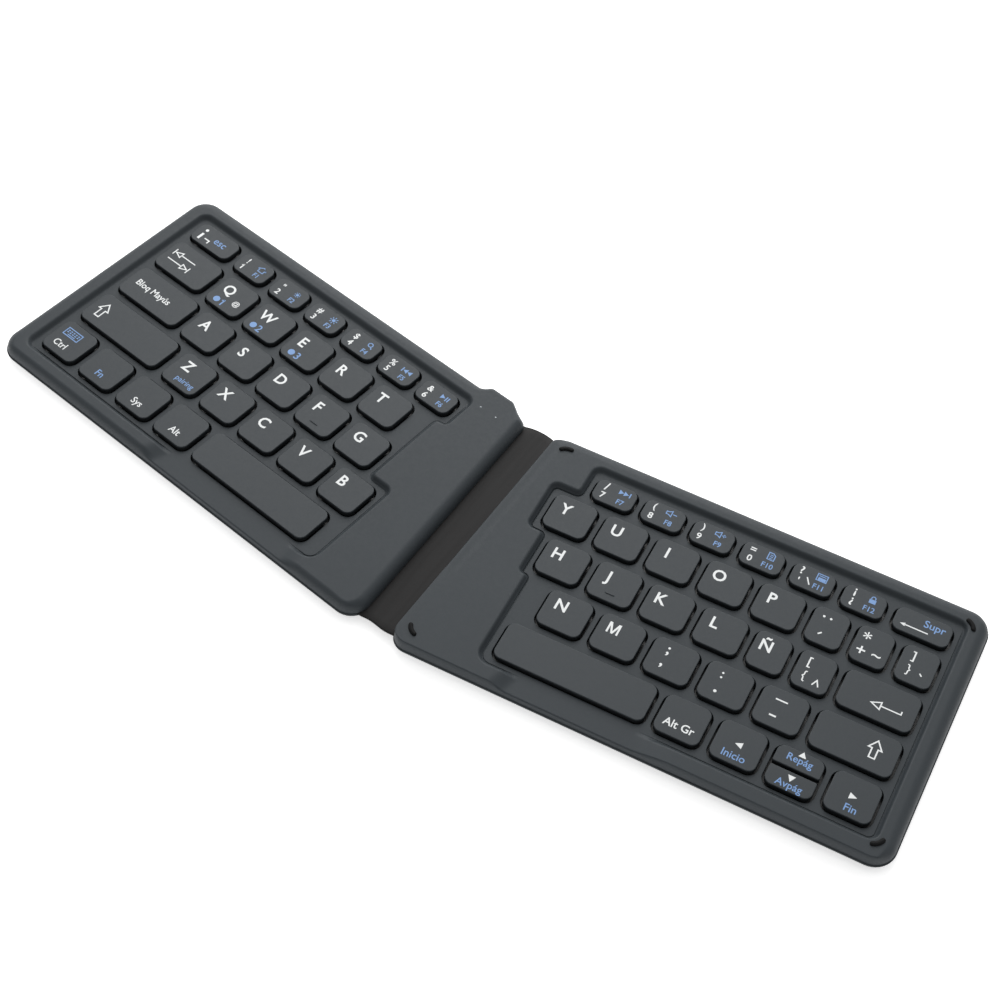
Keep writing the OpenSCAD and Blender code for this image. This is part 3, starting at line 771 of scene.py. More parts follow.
def shade(ob, side):
    """Gives the surface its exact normals, so that broad plain areas and slopes stay clean."""
    me = ob.data
    n = len(me.vertices)
    co = np.empty(n * 3)
    me.vertices.foreach_get("co", co)
    co = co.reshape(-1, 3) / MM
    x, y = co[:, 0], co[:, 1]
    if side == "L":
        x, y = x - AT_L[0], y - AT_L[1]
        u, v = x * CT - y * ST, x * ST + y * CT
    else:
        x, y = x - AT_R[0], y - AT_R[1]
        u, v = x * CT + y * ST, -x * ST + y * CT
    p = np.c_[u, v]
    z = surface(side, p)
    ok = np.abs(z - co[:, 2]) < 0.02
    h = 0.03
    gu = (surface(side, p + [h, 0]) - surface(side, p - [h, 0])) / (2 * h)
    gv = (surface(side, p + [0, h]) - surface(side, p - [0, h])) / (2 * h)
    nr = np.c_[-gu, -gv, np.ones(n)]
    nr /= np.linalg.norm(nr, axis=1)[:, None]
    if side == "L":
        wx, wy = nr[:, 0] * CT + nr[:, 1] * ST, -nr[:, 0] * ST + nr[:, 1] * CT
    else:
        wx, wy = nr[:, 0] * CT - nr[:, 1] * ST, nr[:, 0] * ST + nr[:, 1] * CT
    nr = np.c_[wx, wy, nr[:, 2]]
    loops = np.empty(len(me.loops), np.int32)
    me.loops.foreach_get("vertex_index", loops)
    starts = np.empty(len(me.polygons), np.int32)
    totals = np.empty(len(me.polygons), np.int32)
    fn = np.empty(len(me.polygons) * 3)
    me.polygons.foreach_get("loop_start", starts)
    me.polygons.foreach_get("loop_total", totals)
    me.polygons.foreach_get("normal", fn)
    fn = fn.reshape(-1, 3)
    owner = np.repeat(np.arange(len(starts)), totals)
    ln = fn[owner].copy()
    steep = fn[:, 2] > 0.12
    good = ok[loops] & steep[owner]
    ln[good] = nr[loops[good]]
    me.polygons.foreach_set("use_smooth", np.full(len(me.polygons), True))
    me.normals_split_custom_set([tuple(a) for a in ln])
    me.update()


covers = {}
for side, node, body in (("L", "left_top_cover", "left_half"), ("R", "right_top_cover", "right_half")):
    verts, faces = top_cover(side)
    ob = build("cover_top_" + ("left" if side == "L" else "right"), verts, faces, [COVER], side)
    covers[side] = ob
    if side == "L":
        cut = stadium("L", PORT_U, 30.2, 45, 4.0, 9.3, 3.6)
        apply_boolean(ob, [cut])
        bpy.data.objects.remove(cut)
    shade(ob, side)
    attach(ob, body)
    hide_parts(node)


# ------------------------------------------------------------------ bottom covers
def tray(side):
    P = inset(OUT_L if side == "L" else OUT_R, 0.07)
    prof = [(3.9, 0.8), (3.3, 0.8), (2.7, 0.84), (2.1, 0.98), (1.5, 1.25), (1.0, 1.62), (0.55, 2.1), (0.22, 2.65), (0.05, 3.1),
            (0.0, 3.38), (0.03, 3.52), (0.1, 3.6), (0.2, 3.64), (0.36, 3.652), (0.44, 3.655), (0.5, 3.65), (0.56, 3.645),
            (0.6, 3.64), (3.55, 3.64), (3.6, 3.6), (3.6, 1.85), (3.7, 1.8)]
    rings = [rounded(inset(P, t), 10, 8.0) for t, z in prof]
    n0 = len(rings[0])
    fixed = []
    base = inset(P, 0.0)
    # the same number of points in every ring: subdivide edges by count rather than by length
    for (t, z) in prof:
        Q = inset(P, t)
        pts = rounded(Q, 10)
        full = []
        for i, a in enumerate(pts):
            b = pts[(i + 1) % len(pts)]
            full.append(a)
            if i % 11 == 10:
                full += [a + (b - a) * j / 6 for j in range(1, 6)]
        fixed.append(np.c_[np.array(full), np.full(len(full), z)])
    n = len(fixed[0])
    verts = np.concatenate(fixed)
    faces = []
    for r in range(len(fixed) - 1):
        for i in range(n):
            j = (i + 1) % n
            faces.append((r * n + i, r * n + j, (r + 1) * n + j, (r + 1) * n + i))
    faces.append(tuple(range(n - 1, -1, -1)))
    last = (len(fixed) - 1) * n
    faces.append(tuple(last + i for i in range(n)))
    return verts, faces


for side, node, body in (("L", "left_bottom_cover", "left_half"), ("R", "right_bottom_cover", "right_half")):
    verts, faces = tray(side)
    ob = build("cover_bottom_" + ("left" if side == "L" else "right"), verts, faces, [TRAY], side)
    bm_fix(ob)
    s = -1 if side == "L" else 1
    xs = sorted((MID_X + s * 3, MID_X + s * 14))
    cuts = [block(None, xs[0], xs[1], STRIP_Y0 - 0.25, STRIP_Y1 + 0.25, PART_Z - 1.02, PART_Z + 1)]
    if side == "L":
        cuts.append(stadium("L", PORT_U, 30.2, 45, 4.0, 9.3, 3.6))
    apply_boolean(ob, cuts)
    for c in cuts:
        bpy.data.objects.remove(c)
    ob.data.polygons.foreach_set("use_smooth", np.full(len(ob.data.polygons), True))
    ob.data.set_sharp_from_angle(angle=math.radians(32))
    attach(ob, body)
    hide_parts(node)


# ------------------------------------------------------------------ key caps
def cap_mesh(k, z_low, z_top, fillet=0.22, wall=1.0, roof=1.0, n=8):
    rings = []

    def ring(g, z):
        rings.append(np.c_[rounded(box_poly(k, g), n), np.full((n + 1) * 4, z)])

    ring(-wall, z_top - roof)
    ring(-wall, z_low)
    ring(-0.06, z_low)
    ring(0.0, z_low + 0.06)
    ring(0.0, z_top - fillet - 0.15)
    for j in range(0, 7):
        a = math.pi / 2 * j / 6
        ring(-fillet * (1 - math.cos(a)), z_top - fillet * (1 - math.sin(a)))
    ring(-fillet - 0.12, z_top)
    m = len(rings[0])
    verts = np.concatenate(rings)
    faces = []
    for i in range(len(rings) - 1):
        for j in range(m):
            jj = (j + 1) % m
            faces.append((i * m + j, i * m + jj, (i + 1) * m + jj, (i + 1) * m + j))
    top0 = (len(rings) - 1) * m
    faces.append(tuple(top0 + j for j in range(m)))
    faces.append(tuple(range(m - 1, -1, -1)))
    return verts, faces


def join(parts):
    vs, fs, n = [], [], 0
    for v, f in parts:
        vs.append(v)
        fs += [tuple(i + n for i in q) for q in f]
        n += len(v)
    return np.concatenate(vs), fs


def homing(u, v, w=3.6, r=0.32):
    """A low rounded bar moulded on a cap."""
    verts, faces = [], []
    n, m = 12, 8
    for i in range(n + 1):
        s = i / n
        x = u - w / 2 + w * s
        k = math.sqrt(max(0.0, 1 - (2 * s - 1) ** 8)) * 0.999 + 0.001
        for j in range(m):
            a = 2 * math.pi * j / m
            verts.append((x, v + r * k * math.cos(a), TOP_Z - 0.04 + 0.30 * k * max(-0.3, math.sin(a))))
    for i in range(n):
        for j in range(m):
            jj = (j + 1) % m
            faces.append((i * m + j, i * m + jj, (i + 1) * m + jj, (i + 1) * m + j))
    faces.append(tuple(range(m - 1, -1, -1)))
    faces.append(tuple(n * m + j for j in range(m)))
    return np.array(verts), faces


for node, (side, ks) in NODES.items():
    parts = [cap_mesh(k, FLOOR_Z - 0.6, TOP_Z) for k in ks]
    if node == "key_f":
        parts.append(homing(67.6, -14.4))
    if node == "key_j":
        parts.append(homing(31.8, -14.2))
    verts, faces = join(parts)
    ob = build("cap_" + node, verts, faces, [KEYCAP], side)
    bm_fix(ob)
    ob.data.set_sharp_from_angle(angle=math.radians(40))
    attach(ob, node)
    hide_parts(node)


# ------------------------------------------------------------------ legends
class Flat:
    """Collects flat shapes of one key node: triangles and outlines in plan, white or blue."""

    def __init__(self):
        self.verts, self.faces, self.mats = [], [], []

    def add(self, vs, fs, mat):
        """vs: plan points; fs: faces, any winding. Made into a thin closed solid on the key top."""
        vs = np.asarray(vs, float)
        out = []
        for f in fs:
            q = vs[list(f)]
            area = 0.5 * np.sum(q[:, 0] * np.roll(q[:, 1], -1) - np.roll(q[:, 0], -1) * q[:, 1])
            if abs(area) < 1e-9:
                continue
            out.append(tuple(f) if area > 0 else tuple(f)[::-1])
        n0, n = len(self.verts), len(vs)
        z1, z0 = TOP_Z + 0.022, TOP_Z - 0.02
        self.verts += [(a, b, z1) for a, b in vs] + [(a, b, z0) for a, b in vs]
        dirs = {}
        for f in out:
            self.faces.append(tuple(n0 + i for i in f))
            self.faces.append(tuple(n0 + n + i for i in f[::-1]))
            self.mats += [mat, mat]
            for i in range(len(f)):
                dirs[(f[i], f[(i + 1) % len(f)])] = 1
        for a, b in dirs:
            if (b, a) not in dirs:
                self.faces.append((n0 + b, n0 + a, n0 + n + a, n0 + n + b))
                self.mats.append(mat)


LEGENDS = {}


def flat(node):
    if node not in LEGENDS:
        LEGENDS[node] = Flat()
    return LEGENDS[node]


_glyphs = {}


def glyph(body, bold):
    key = (body, bold)
    if key not in _glyphs:
        cu = bpy.data.curves.new("t", "FONT")
        cu.body = body
        cu.size = 1
        cu.resolution_u = 3
        cu.offset = bold
        ob = bpy.data.objects.new("t", cu)
        bpy.context.scene.collection.objects.link(ob)
        dg = bpy.context.evaluated_depsgraph_get()
        me = bpy.data.meshes.new_from_object(ob.evaluated_get(dg))
        vs = np.array([tuple(v.co)[:2] for v in me.vertices])
        fs = [tuple(p.vertices) for p in me.polygons]
        # weld double points, so that the outline closes
        r = np.round(vs, 5)
        _, first, inv = np.unique(r, axis=0, return_index=True, return_inverse=True)
        inv = inv.reshape(-1)
        fs = [tuple(int(inv[i]) for i in f) for f in fs]
        fs = [f for f in fs if len(set(f)) == len(f)]
        _glyphs[key] = (vs[first], fs)
        bpy.data.objects.remove(ob)
        bpy.data.meshes.remove(me)
    return _glyphs[key]


def text(node, body, u, v, cap, mat=0, bold=0.012, squeeze=1.0, by="box"):
    """Lettering centred at (u, v); cap is its capital height in mm."""
    vs, fs = glyph(body, bold)
    s = cap / 0.69
    lo, hi = vs.min(0), vs.max(0)
    c = (lo + hi) / 2
    if by == "cap":
        c = np.array([c[0], 0.345])
    q = (vs - c) * s * [squeeze, 1] + [u, v]
    flat(node).add(q, fs, mat)


def ribbon(node, pts, w, mat=0, closed=False):
    """A line of even width along pts, with mitred corners."""
    p = np.asarray(pts, float)
    n = len(p)
    left, right_ = [], []
    for i in range(n):
        if closed:
            a, b = unit(p[i] - p[i - 1]), unit(p[(i + 1) % n] - p[i])
        else:
            a = unit(p[i] - p[i - 1]) if i else unit(p[1] - p[0])
            b = unit(p[i + 1] - p[i]) if i < n - 1 else a
        na, nb = np.array([-a[1], a[0]]), np.array([-b[1], b[0]])
        mvec = (na + nb) / (1 + na @ nb) if 1 + na @ nb > 0.2 else na
        left.append(p[i] + mvec * w / 2)
        right_.append(p[i] - mvec * w / 2)
    vs = np.array(left + right_)
    m = n if closed else n - 1
    fs = [(i, (i + 1) % n, n + (i + 1) % n, n + i) for i in range(m)]
    flat(node).add(vs, fs, mat)


def shape(node, pts, mat=0):
    flat(node).add(np.asarray(pts, float), [tuple(range(len(pts)))], mat)


def circle(u, v, r, n=20, a0=0, a1=2 * math.pi):
    full = abs(a1 - a0 - 2 * math.pi) < 1e-6
    k = n if full else n + 1
    return [(u + r * math.cos(a0 + (a1 - a0) * i / n), v + r * math.sin(a0 + (a1 - a0) * i / n)) for i in range(k)]


def at(pts, u, v, s=1.0):
    return [(u + x * s, v + y * s) for x, y in pts]


BIG = 0.020
for c, u, v in (("Q", 5.1, 8.7), ("W", 23.6, 8.7), ("E", 40.6, 8.7), ("R", 58.9, 8.7), ("T", 76.8, 8.7),
                ("A", 10.8, -8.3), ("S", 28.7, -8.3), ("D", 46.7, -8.3), ("F", 64.1, -8.3), ("G", 82.7, -8.3),
                ("Z", 20, -25.3), ("X", 37.6, -25.3), ("C", 55.6, -25.3), ("V", 73.7, -25.3), ("B", 91.4, -25.3),
                ("Y", 5.6, 8.9), ("U", 23.6, 9), ("I", 41.3, 9), ("O", 59.3, 8.9), ("P", 77.3, 8.9),
                ("H", 11.1, -8.1), ("J", 28.6, -8.2), ("K", 46.8, -8.1), ("L", 65, -8.1),
                ("N", 20.6, -25.2)):
    text("key_" + c.lower(), c, u, v, 4.05, 0, BIG, 0.96, by="cap")
text("key_enye", "Ñ", 82.2, -8.3, 4.05, 0, BIG, 0.96, by="cap")



def capital_m(node, u, v, h, a, w):
    """A plain capital M in one outline: h and a are half its height and width, w its stroke."""
    half = [(-a, -h), (-a, h), (-a + 1.4 * w, h), (0, -h + 1.5 * w), (a - 1.4 * w, h), (a, h), (a, -h), (a - w, -h),
            (a - w, h - 2.1 * w), (0.5 * w, -h), (-0.5 * w, -h), (-a + w, h - 2.1 * w), (-a + w, -h)]
    shape(node, at(half, u, v))


capital_m("key_m", 38.4, -25.2, 2.05, 1.95, 0.62)
SMALL = 0.012
# second marks of the letter keys
for node, u, ud, d in (("key_q", 4.5, 7.3, "1"), ("key_w", 22.3, 25.1, "2"), ("key_e", 40.5, 43.3, "3")):
    shape(node, circle(u, 2.8, 1.25, 22), 1)
    text(node, d, ud, 2.8, 2.9, 1, SMALL)
ribbon("key_q", [(6.55, 3.35), (7.2, 4.1)], 0.42, 1)
text("key_q", "@", 11.4, 5.2, 1.95, 0, SMALL)
text("key_z", "pairing", 24.1, -31.4, 2.05, 1, 0.008, 0.98)

# left number row
nl = "number_keys_left"
shape(nl, circle(-21.4, 23.5, 0.62, 16))
ribbon(nl, [(-21.4, 18.6), (-21.4, 21.7)], 0.95)
ribbon(nl, [(-19.4, 20.2), (-17.2, 20.2), (-17.2, 18.8)], 0.5)
text(nl, "esc", -13.3, 21.6, 2.95, 1, 0.006, 0.94)
for c, d, f, u0 in (("!", "1", "F1", 0.0), ('"', "2", "F2", 17.35), ("#", "3", "F3", 34.6),
                    ("$", "4", "F4", 51.9), ("%", "5", "F5", 69.0), ("&", "6", "F6", 86.15)):
    text(nl, c, u0, 23.0 if c != '"' else 23.4, 2.4, 0, 0.016)
    text(nl, d, u0, 19.7, 2.35, 0, 0.018)
    text(nl, f, u0 + 6.45, 19.7, 1.9, 1, SMALL, 0.95)


def sun(node, u, v, r, ray, mat=1):
    shape(node, circle(u, v, r, 14), mat)
    for i in range(8):
        a = math.pi / 4 * i
        c, s = math.cos(a), math.sin(a)
        ribbon(node, [(u + c * (r + 0.25), v + s * (r + 0.25)), (u + c * (r + 0.25 + ray), v + s * (r + 0.25 + ray))], 0.28, mat)


ribbon(nl, [(-0.62, 20.1), (-0.05, 20.75)], 0.36)
ribbon(nl, at([(-1.1, -1.15), (1.1, -1.15), (1.1, 0.05), (1.9, 0.05), (0, 1.3), (-1.9, 0.05), (-1.1, 0.05)], 6.5, 22.9), 0.34, 1, True)
sun(nl, 23.75, 22.9, 0.55, 0.4)
sun(nl, 41.1, 22.9, 0.65, 0.7)
ribbon(nl, circle(58.1, 23.3, 0.85, 16), 0.34, 1, True)
ribbon(nl, [(58.75, 22.6), (59.5, 21.8)], 0.42, 1)
ribbon(nl, [(73.3, 21.95), (73.3, 23.9)], 0.4, 1)
for du in (0, 1.75):
    shape(nl, [(73.7 + du, 22.92), (75.35 + du, 21.95), (75.35 + du, 23.9)], 1)
shape(nl, [(90.7, 21.95), (92.4, 22.92), (90.7, 23.9)], 1)
for du in (0, 0.85):
    ribbon(nl, [(92.9 + du, 21.95), (92.9 + du, 23.9)], 0.42, 1)

# left modifier keys
ml = "modifier_keys_left"
ribbon(ml, [(-22.2, 7.3), (-22.2, 10.1)], 0.42)
ribbon(ml, at([(0, 0), (2.6, 1.15), (2.6, -1.15)], -21.6, 8.7), 0.42, 0, True)
ribbon(ml, [(-19.0, 8.7), (-12.3, 8.7)], 0.42)
ribbon(ml, [(-12.3, 3.6), (-12.3, 6.4)], 0.42)
ribbon(ml, at([(0, 0), (-2.6, 1.15), (-2.6, -1.15)], -12.9, 5.0), 0.42, 0, True)
ribbon(ml, [(-15.5, 5.0), (-22.1, 5.0)], 0.42)
text(ml, "Bloq Mayús", -13.4, -10.35, 2.55, 0, 0.014, 0.93)
ARROW = [(-0.95, -3.2), (0.95, -3.2), (0.95, 0.2), (2.1, 0.2), (0, 3.2), (-2.1, 0.2), (-0.95, 0.2)]
ribbon(ml, at(ARROW, -19.75, -27.5), 0.45, 0, True)
for t, u, mt in (("Ctrl", -18.9, 0), ("Fn", 0.7, 1), ("Sys", 18.8, 0), ("Alt", 36.7, 0)):
    text(ml, t, u, -47.5, 2.5, mt, 0.012, 0.95, by="cap")
ribbon(ml, [(-22.0, -43.6), (-15.4, -43.6), (-15.4, -40.4), (-22.0, -40.4)], 0.36, 1, True)
for i in range(5):
    for j in range(2):
        u, v = -21.0 + 1.15 * i, -41.35 - 0.8 * j
        shape(ml, [(u - 0.34, v - 0.22), (u + 0.34, v - 0.22), (u + 0.34, v + 0.22), (u - 0.34, v + 0.22)], 1)
ribbon(ml, [(-20.4, -42.95), (-17.0, -42.95)], 0.32, 1)

# right number row
nr_ = "number_keys_right"
for c, d, f, u0, uf in (("/", "7", "F7", 13.3, 19.6), ("(", "8", "F8", 30.35, 36.6), (")", "9", "F9", 47.35, 53.85),
                        ("=", "0", "F10", 64.85, 71.0), ("?", None, "F11", 81.6, 88.2), ("¡", "¿", "F12", 99.35, 105.35)):
    text(nr_, c, u0, 23.7, {"/": 3.0, "=": 2.6, "?": 2.9, "¡": 2.9}.get(c, 2.4), 0, 0.016)
    if d:
        text(nr_, d, u0, 19.95, 2.8 if d == "¿" else 2.35, 0, 0.016)
    text(nr_, f, uf, 19.7, 1.95, 1, SMALL, 0.95)
text(nr_, "'", 81.7, 20.2, 2.6, 0, 0.014)
ribbon(nr_, [(83.9, 21.8), (85.4, 19.3)], 0.42)
for du in (0, 1.7):
    shape(nr_, [(17.7 + du, 22.7), (19.35 + du, 23.65), (17.7 + du, 24.6)], 1)
ribbon(nr_, [(21.5, 22.7), (21.5, 24.6)], 0.4, 1)
for u0 in (36.0, 53.2):
    ribbon(nr_, at([(-1.5, -0.55), (-0.7, -0.55), (0.3, -1.15), (0.3, 1.15), (-0.7, 0.55), (-1.5, 0.55)], u0, 23.6), 0.32, 1, True)
    ribbon(nr_, [(u0 + 0.8, 23.6), (u0 + 2.1, 23.6)], 0.34, 1)
ribbon(nr_, [(54.65, 22.95), (54.65, 24.25)], 0.34, 1)
ribbon(nr_, [(69.9, 22.2), (72.1, 22.2), (72.1, 24.3), (71.3, 25.0), (69.9, 25.0)], 0.34, 1, True)
for dv in (0, 0.7, 1.4):
    ribbon(nr_, [(70.45, 22.75 + dv), (71.55, 22.75 + dv)], 0.3, 1)
ribbon(nr_, [(86.6, 22.3), (89.9, 22.3), (89.9, 24.9), (86.6, 24.9)], 0.34, 1, True)
shape(nr_, [(87.1, 22.5), (89.6, 22.5), (89.6, 23.6), (87.1, 23.6)], 1)
ribbon(nr_, [(87.1, 24.2), (89.4, 24.2)], 0.3, 1)
shape(nr_, [(104.3, 22.1), (106.5, 22.1), (106.5, 23.7), (104.3, 23.7)], 1)
ribbon(nr_, [(104.75, 23.6)] + circle(105.4, 24.2, 0.65, 8, math.pi, 0) + [(106.05, 23.6)], 0.32, 1)

bk = "backspace_key"
text(bk, "Supr", 126.1, 22.7, 2.7, 1, 0.010, 0.97)
ribbon(bk, [(117.2, 19.8), (124.8, 19.8)], 0.42)
shape(bk, [(115.6, 19.8), (117.3, 19.15), (117.3, 20.45)])

pn = "punctuation_keys"
for du in (0, 2.3):
    shape(pn, circle(94.0 + du, 10.5, 0.42, 12))
ribbon(pn, [(94.5, 3.5), (95.5, 4.5)], 0.5)
text(pn, "*", 108.5, 10.3, 4.3, 0, 0.008)
text(pn, "+", 108.4, 4.45, 4.0, 0, 0.008)
text(pn, "~", 113.4, 4.4, 3.6, 0, 0.012)
text(pn, "]", 123.7, 9.9, 3.0, 0, 0.008)
text(pn, "}", 123.8, 4.6, 3.0, 0, 0.006)
ribbon(pn, [(127.4, 4.9), (128.2, 4.1)], 0.45)
text(pn, "[", 96.3, -7.5, 3.0, 0, 0.008)
text(pn, "{", 96.3, -12.8, 3.0, 0, 0.006)
ribbon(pn, [(99.6, -14.7), (100.6, -12.5), (101.6, -14.7)], 0.42)
text(pn, ";", 56.5, -24.8, 3.8, 0, 0.014)
text(pn, ",", 56.4, -30.4, 4.0, 0, 0.014)
text(pn, ":", 74.4, -24.6, 3.4, 0, 0.014)
shape(pn, circle(74.6, -30.8, 0.52, 14))
ribbon(pn, [(91.9, -24.4), (95.8, -24.4)], 0.5)
ribbon(pn, [(92.1, -30.4), (94.3, -30.4)], 0.6)

en = "enter_key"
ribbon(en, at([(0, 0), (3.0, 1.35), (3.0, -1.35)], 117.8, -11.7), 0.42, 0, True)
ribbon(en, [(121.0, -11.7), (127.3, -11.7), (127.3, -10.5)], 0.42)

cs = "cursor_shift_keys"
ribbon(cs, at(ARROW, 124.5, -26.6), 0.45, 0, True)
text(cs, "Alt Gr", 70.0, -47.2, 2.7, 0, 0.014, 0.95, by="cap")
shape(cs, [(87.0, -44.5), (89.3, -43.4), (89.3, -45.6)])
text(cs, "Inicio", 88.2, -48.6, 2.5, 1, 0.010, 0.97, by="cap")
shape(cs, [(105.2, -39.6), (107.6, -39.6), (106.4, -37.6)])
text(cs, "Repág", 106.3, -41.2, 2.4, 1, 0.010, 0.97)
shape(cs, [(104.9, -46.7), (107.3, -46.7), (106.1, -48.9)])
text(cs, "Avpág", 106.3, -50.4, 2.4, 1, 0.010, 0.97)
shape(cs, [(125.6, -44.6), (123.2, -43.5), (123.2, -45.7)])
text(cs, "Fin", 125.0, -48.6, 2.5, 1, 0.010, 0.97, by="cap")

for node, fl in LEGENDS.items():
    side = NODES[node][0]
    ob = build("legend_" + node, fl.verts, fl.faces, [WHITE, BLUE], side, fl.mats, smooth_faces=False)
    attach(ob, node)


# ------------------------------------------------------------------ rubber parts and lights
def rubber_foot(side, u, v):
    k = (u - 8, v - 2.4, 16, 4.8)
    rings = []
    for g, z in ((-0.4, LOW_Z + 0.05), (0.0, LOW_Z + 0.05), (0.0, 0.28), (-0.06, 0.12), (-0.2, 0.03), (-0.4, 0.0), (-0.9, 0.0), (-1.05, 0.08), (-1.3, 0.08)):
        rings.append(np.c_[rounded(box_poly(k, g, 2.3), 7), np.full(32, z)])
    n = 32
    verts = np.concatenate(rings)
    faces = []
    for i in range(len(rings) - 1):
        for j in range(n):
            jj = (j + 1) % n
            faces.append((i * n + j, i * n + jj, (i + 1) * n + jj, (i + 1) * n + j))
    faces.append(tuple(range(n)))
    faces.append(tuple((len(rings) - 1) * n + j for j in range(n - 1, -1, -1)))
    return verts, faces


for side, node, body, where in (("L", "left_feet", "left_half", [(-20, -53), (114, -53), (-20, 27), (103, 27)]),
                                ("R", "right_feet", "right_half", [(-6, -53), (128, -53), (4, 27), (128, 27)])):
    verts, faces = join([rubber_foot(side, u, v) for u, v in where])
    ob = build("pads_" + body, verts, faces, [RUBBER], side)
    bm_fix(ob)
    ob.data.set_sharp_from_angle(angle=math.radians(50))
    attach(ob, body)
    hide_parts(node)


def crescent(u, v, a0):
    """A crescent bumper: a rounded section swept along an arc, with blunt round ends."""
    n, m = 30, 12
    verts, faces = [], []
    for i in range(n + 1):
        s = 0.5 - 0.5 * math.cos(math.pi * i / n)
        a = math.radians(a0 + 7 + 70 * s)
        end = max(0.03, 1 - abs(2 * s - 1) ** 9.0) ** 0.5
        w = 0.78 * end
        for j in range(m):
            b = 2 * math.pi * j / m
            r = 4.05 + w * math.copysign(abs(math.cos(b)) ** 0.6, math.cos(b))
            h = 0.66 * end ** 0.5
            z = RIM_Z - 0.15 + (h + 0.15) * max(0.0, math.sin(b)) ** 0.6 if math.sin(b) > 0 else RIM_Z - 0.15
            verts.append((u + r * math.cos(a), v + r * math.sin(a), z))
    for i in range(n):
        for j in range(m):
            jj = (j + 1) % m
            faces.append((i * m + j, i * m + jj, (i + 1) * m + jj, (i + 1) * m + j))
    faces.append(tuple(range(m)))
    faces.append(tuple(n * m + j for j in range(m - 1, -1, -1)))
    return np.array(verts), faces


verts, faces = join([crescent(-3.6, 27.4, 69), crescent(133, 26.9, 3), crescent(-13, -52.6, 183), crescent(133.2, -52.4, 273)])
ob = build("bumpers", verts, faces, [BUMPER], "R")
bm_fix(ob)
ob.data.set_sharp_from_angle(angle=math.radians(60))
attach(ob, "right_half")
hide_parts("corner_bumpers")


def lens(u, v):
    n = 16
    rings = [(0.34, 3.05), (0.34, RIM_Z - 0.01), (0.28, RIM_Z + 0.02), (0.16, RIM_Z + 0.035), (0.05, RIM_Z + 0.04)]
    verts = [(u + r * math.cos(2 * math.pi * j / n), v + r * math.sin(2 * math.pi * j / n), z) for r, z in rings for j in range(n)]
    faces = [(i * n + j, i * n + (j + 1) % n, (i + 1) * n + (j + 1) % n, (i + 1) * n + j) for i in range(4) for j in range(n)]
    faces += [tuple(range(n - 1, -1, -1)), tuple(4 * n + j for j in range(n))]
    return np.array(verts), faces


verts, faces = join([lens(u, v) for u, v in LIGHTS])
ob = build("lenses", verts, faces, [LENS], "L")
bm_fix(ob)
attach(ob, "left_half")
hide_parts("indicator_lights")


# ------------------------------------------------------------------ the soft strip
def strip(x0, x1, dense, name, nodes):
    """One side of the soft strip, from inside a half to the strip's middle line."""
    xs = [x0]
    while xs[-1] < x1 - 1e-6:
        x = xs[-1]
        xs.append(min(x1, x + (0.11 if dense[0] < x + 0.05 < dense[1] else 0.8)))
    if x1 - xs[-2] < 0.06:
        xs.pop(-2)
    half = (PART_Z - 2.65) / 2
    loop = []                                     # section across, as (y, z, bulge weight)
    ys = np.linspace(STRIP_Y0 + 0.5, STRIP_Y1 - 0.5, 40)
    top = [(y, AXIS_Z + half) for y in ys]
    bot = [(y, AXIS_Z - half) for y in ys[::-1]]
    cap = []
    for j in range(1, 6):
        q = math.pi * j / 6
        cap.append((STRIP_Y1 - 0.5 + 0.5 * math.sin(q), AXIS_Z + half * math.cos(q)))
    low = [(STRIP_Y0 + 0.5 - 0.5 * math.sin(math.pi * j / 6), AXIS_Z - half * math.cos(math.pi * j / 6)) for j in range(1, 6)]
    loop = top + cap + bot + low
    n = len(loop)
    verts = []
    for x in xs:
        c = (x - MID_X) / (HALF_SPAN + 1.4)
        rear = 1.15 * max(0.0, 1 - abs(c) ** 2.2) - 0.15
        s = np.clip((x - (MID_X - 6.2)) / 12.4, 0, 1)
        front = 0.3 * math.sin(2 * math.pi * s) if 0 < s < 1 else 0.0
        for y, z in loop:
            k = smooth(y, 20, STRIP_Y1)
            f = 1 - smooth(y, STRIP_Y0, -35)
            verts.append((x, y + rear * float(k) + front * float(f), z))
    faces = []
    for i in range(len(xs) - 1):
        for j in range(n):
            jj = (j + 1) % n
            faces.append((i * n + j, i * n + jj, (i + 1) * n + jj, (i + 1) * n + j))
    faces.append(tuple(range(n)))
    faces.append(tuple((len(xs) - 1) * n + j for j in range(n - 1, -1, -1)))
    ob = build(name, verts, faces, [STRIP], None)
    bm_fix(ob)
    ob.data.set_sharp_from_angle(angle=math.radians(50))
    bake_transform(ob)
    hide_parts(*nodes)
    return ob


AX_L, AX_R = MID_X - HALF_SPAN, MID_X + HALF_SPAN
strip(AX_L - 7.6, MID_X, (AX_L - 0.8, AX_L + 1.2), "strip_left",
      ["hinge_strip", "strip_flap_left"])
strip(MID_X, AX_R + 7.6, (AX_R - 1.2, AX_R + 0.8), "strip_right",
      ["strip_flap_right"])

# ------------------------------------------------------------------ materials of the CAD nodes that stay
for node, mat in (("left_support_plate", STEEL), ("right_support_plate", STEEL), ("left_membrane", FILM), ("right_membrane", FILM),
                  ("left_scissors", NYLON), ("right_scissors", NYLON), ("left_domes", SILICONE), ("right_domes", SILICONE),
                  ("main_board", BOARD), ("charge_port", PORT), ("closing_magnets", MAGNET), ("battery", CELL), ("flex_link", FLEX)):
    me = frame["nodes"][node].data
    if len(me.materials) == 0:
        me.materials.append(mat)
    for i in range(len(me.materials)):
        me.materials[i] = mat

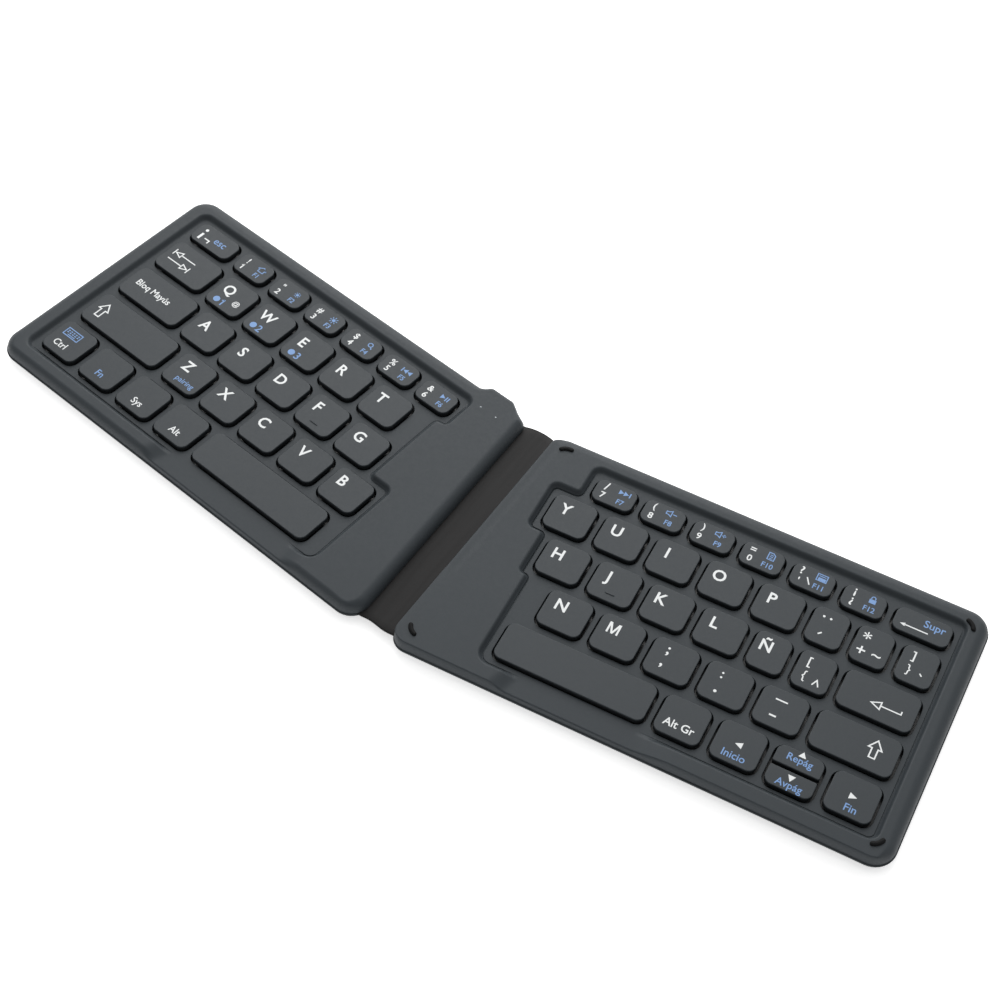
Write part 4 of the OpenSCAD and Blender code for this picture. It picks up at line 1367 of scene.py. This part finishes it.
# ------------------------------------------------------------------ floor and light
me = bpy.data.meshes.new("floor")
me.from_pydata([(-6, -6, 0), (6, -6, 0), (6, 6, 0), (-6, 6, 0)], [], [(0, 1, 2, 3)])
floor = bpy.data.objects.new("floor", me)
bpy.context.scene.collection.objects.link(floor)
fm, nt, bsdf = new_material("floor_paper")
tc = nt.nodes.new("ShaderNodeTexCoord")
n_ = noise(nt, tc.outputs["Object"], 30, 3)
tint = mix_colour(nt, ramp(nt, n_, 0, 1), (0.88, 0.88, 0.88), (0.90, 0.90, 0.90))
nt.links.new(tint.outputs[2], bsdf.inputs["Base Color"])
bsdf.inputs["Roughness"].default_value = 0.9
bsdf.inputs["Specular IOR Level"].default_value = 0.1
bsdf.inputs["Emission Color"].default_value = (1, 1, 1, 1)        # painted light: the floor glows, a little brighter to the rear left, which washes out its shadows
fv = nt.nodes.new("ShaderNodeVectorMath")
fv.operation = "DOT_PRODUCT"
nt.links.new(tc.outputs["Object"], fv.inputs[0])
fv.inputs[1].default_value = (-0.5, 0.87, 0)
nt.links.new(ramp(nt, fv.outputs["Value"], 0.50, 0.80, -0.25, 0.5), bsdf.inputs["Emission Strength"])
floor.data.materials.append(fm)

w = bpy.data.worlds.new("world")
bpy.context.scene.world = w
w.use_nodes = True
bg = w.node_tree.nodes["Background"]
bg.inputs[0].default_value = (1.0, 1.0, 1.0, 1)
wn = w.node_tree                                  # brighter behind and to the left, darker in front and to the right
wt = wn.nodes.new("ShaderNodeTexCoord")
wd = wn.nodes.new("ShaderNodeVectorMath")
wd.operation = "DOT_PRODUCT"
wn.links.new(wt.outputs["Generated"], wd.inputs[0])
wd.inputs[1].default_value = Vector((-0.46, 0.72, 0.46)).normalized()
wm = wn.nodes.new("ShaderNodeMapRange")
wm.interpolation_type = "SMOOTHSTEP"
wm.inputs["From Min"].default_value, wm.inputs["From Max"].default_value = -0.2, 0.95
wm.inputs["To Min"].default_value, wm.inputs["To Max"].default_value = 0.48, 0.95
wn.links.new(wd.outputs["Value"], wm.inputs["Value"])
wn.links.new(wm.outputs[0], bg.inputs[1])


def area(name, loc, target, size, power):
    d = bpy.data.lights.new(name, "AREA")
    d.shape = "RECTANGLE"
    d.size, d.size_y = size
    d.energy = power
    o = bpy.data.objects.new(name, d)
    bpy.context.scene.collection.objects.link(o)
    o.location = loc
    o.rotation_mode = "QUATERNION"
    o.rotation_quaternion = (Vector(target) - Vector(loc)).to_track_quat("-Z", "Y")
    return o


area("key_light", (-0.42, 0.80, 0.70), (-0.02, 0.0, 0.0), (1.0, 0.8), 9.8)

vs = bpy.context.scene.view_settings
vs.view_transform = "Standard"
vs.look = "None"
vs.exposure = 0
vs.gamma = 1
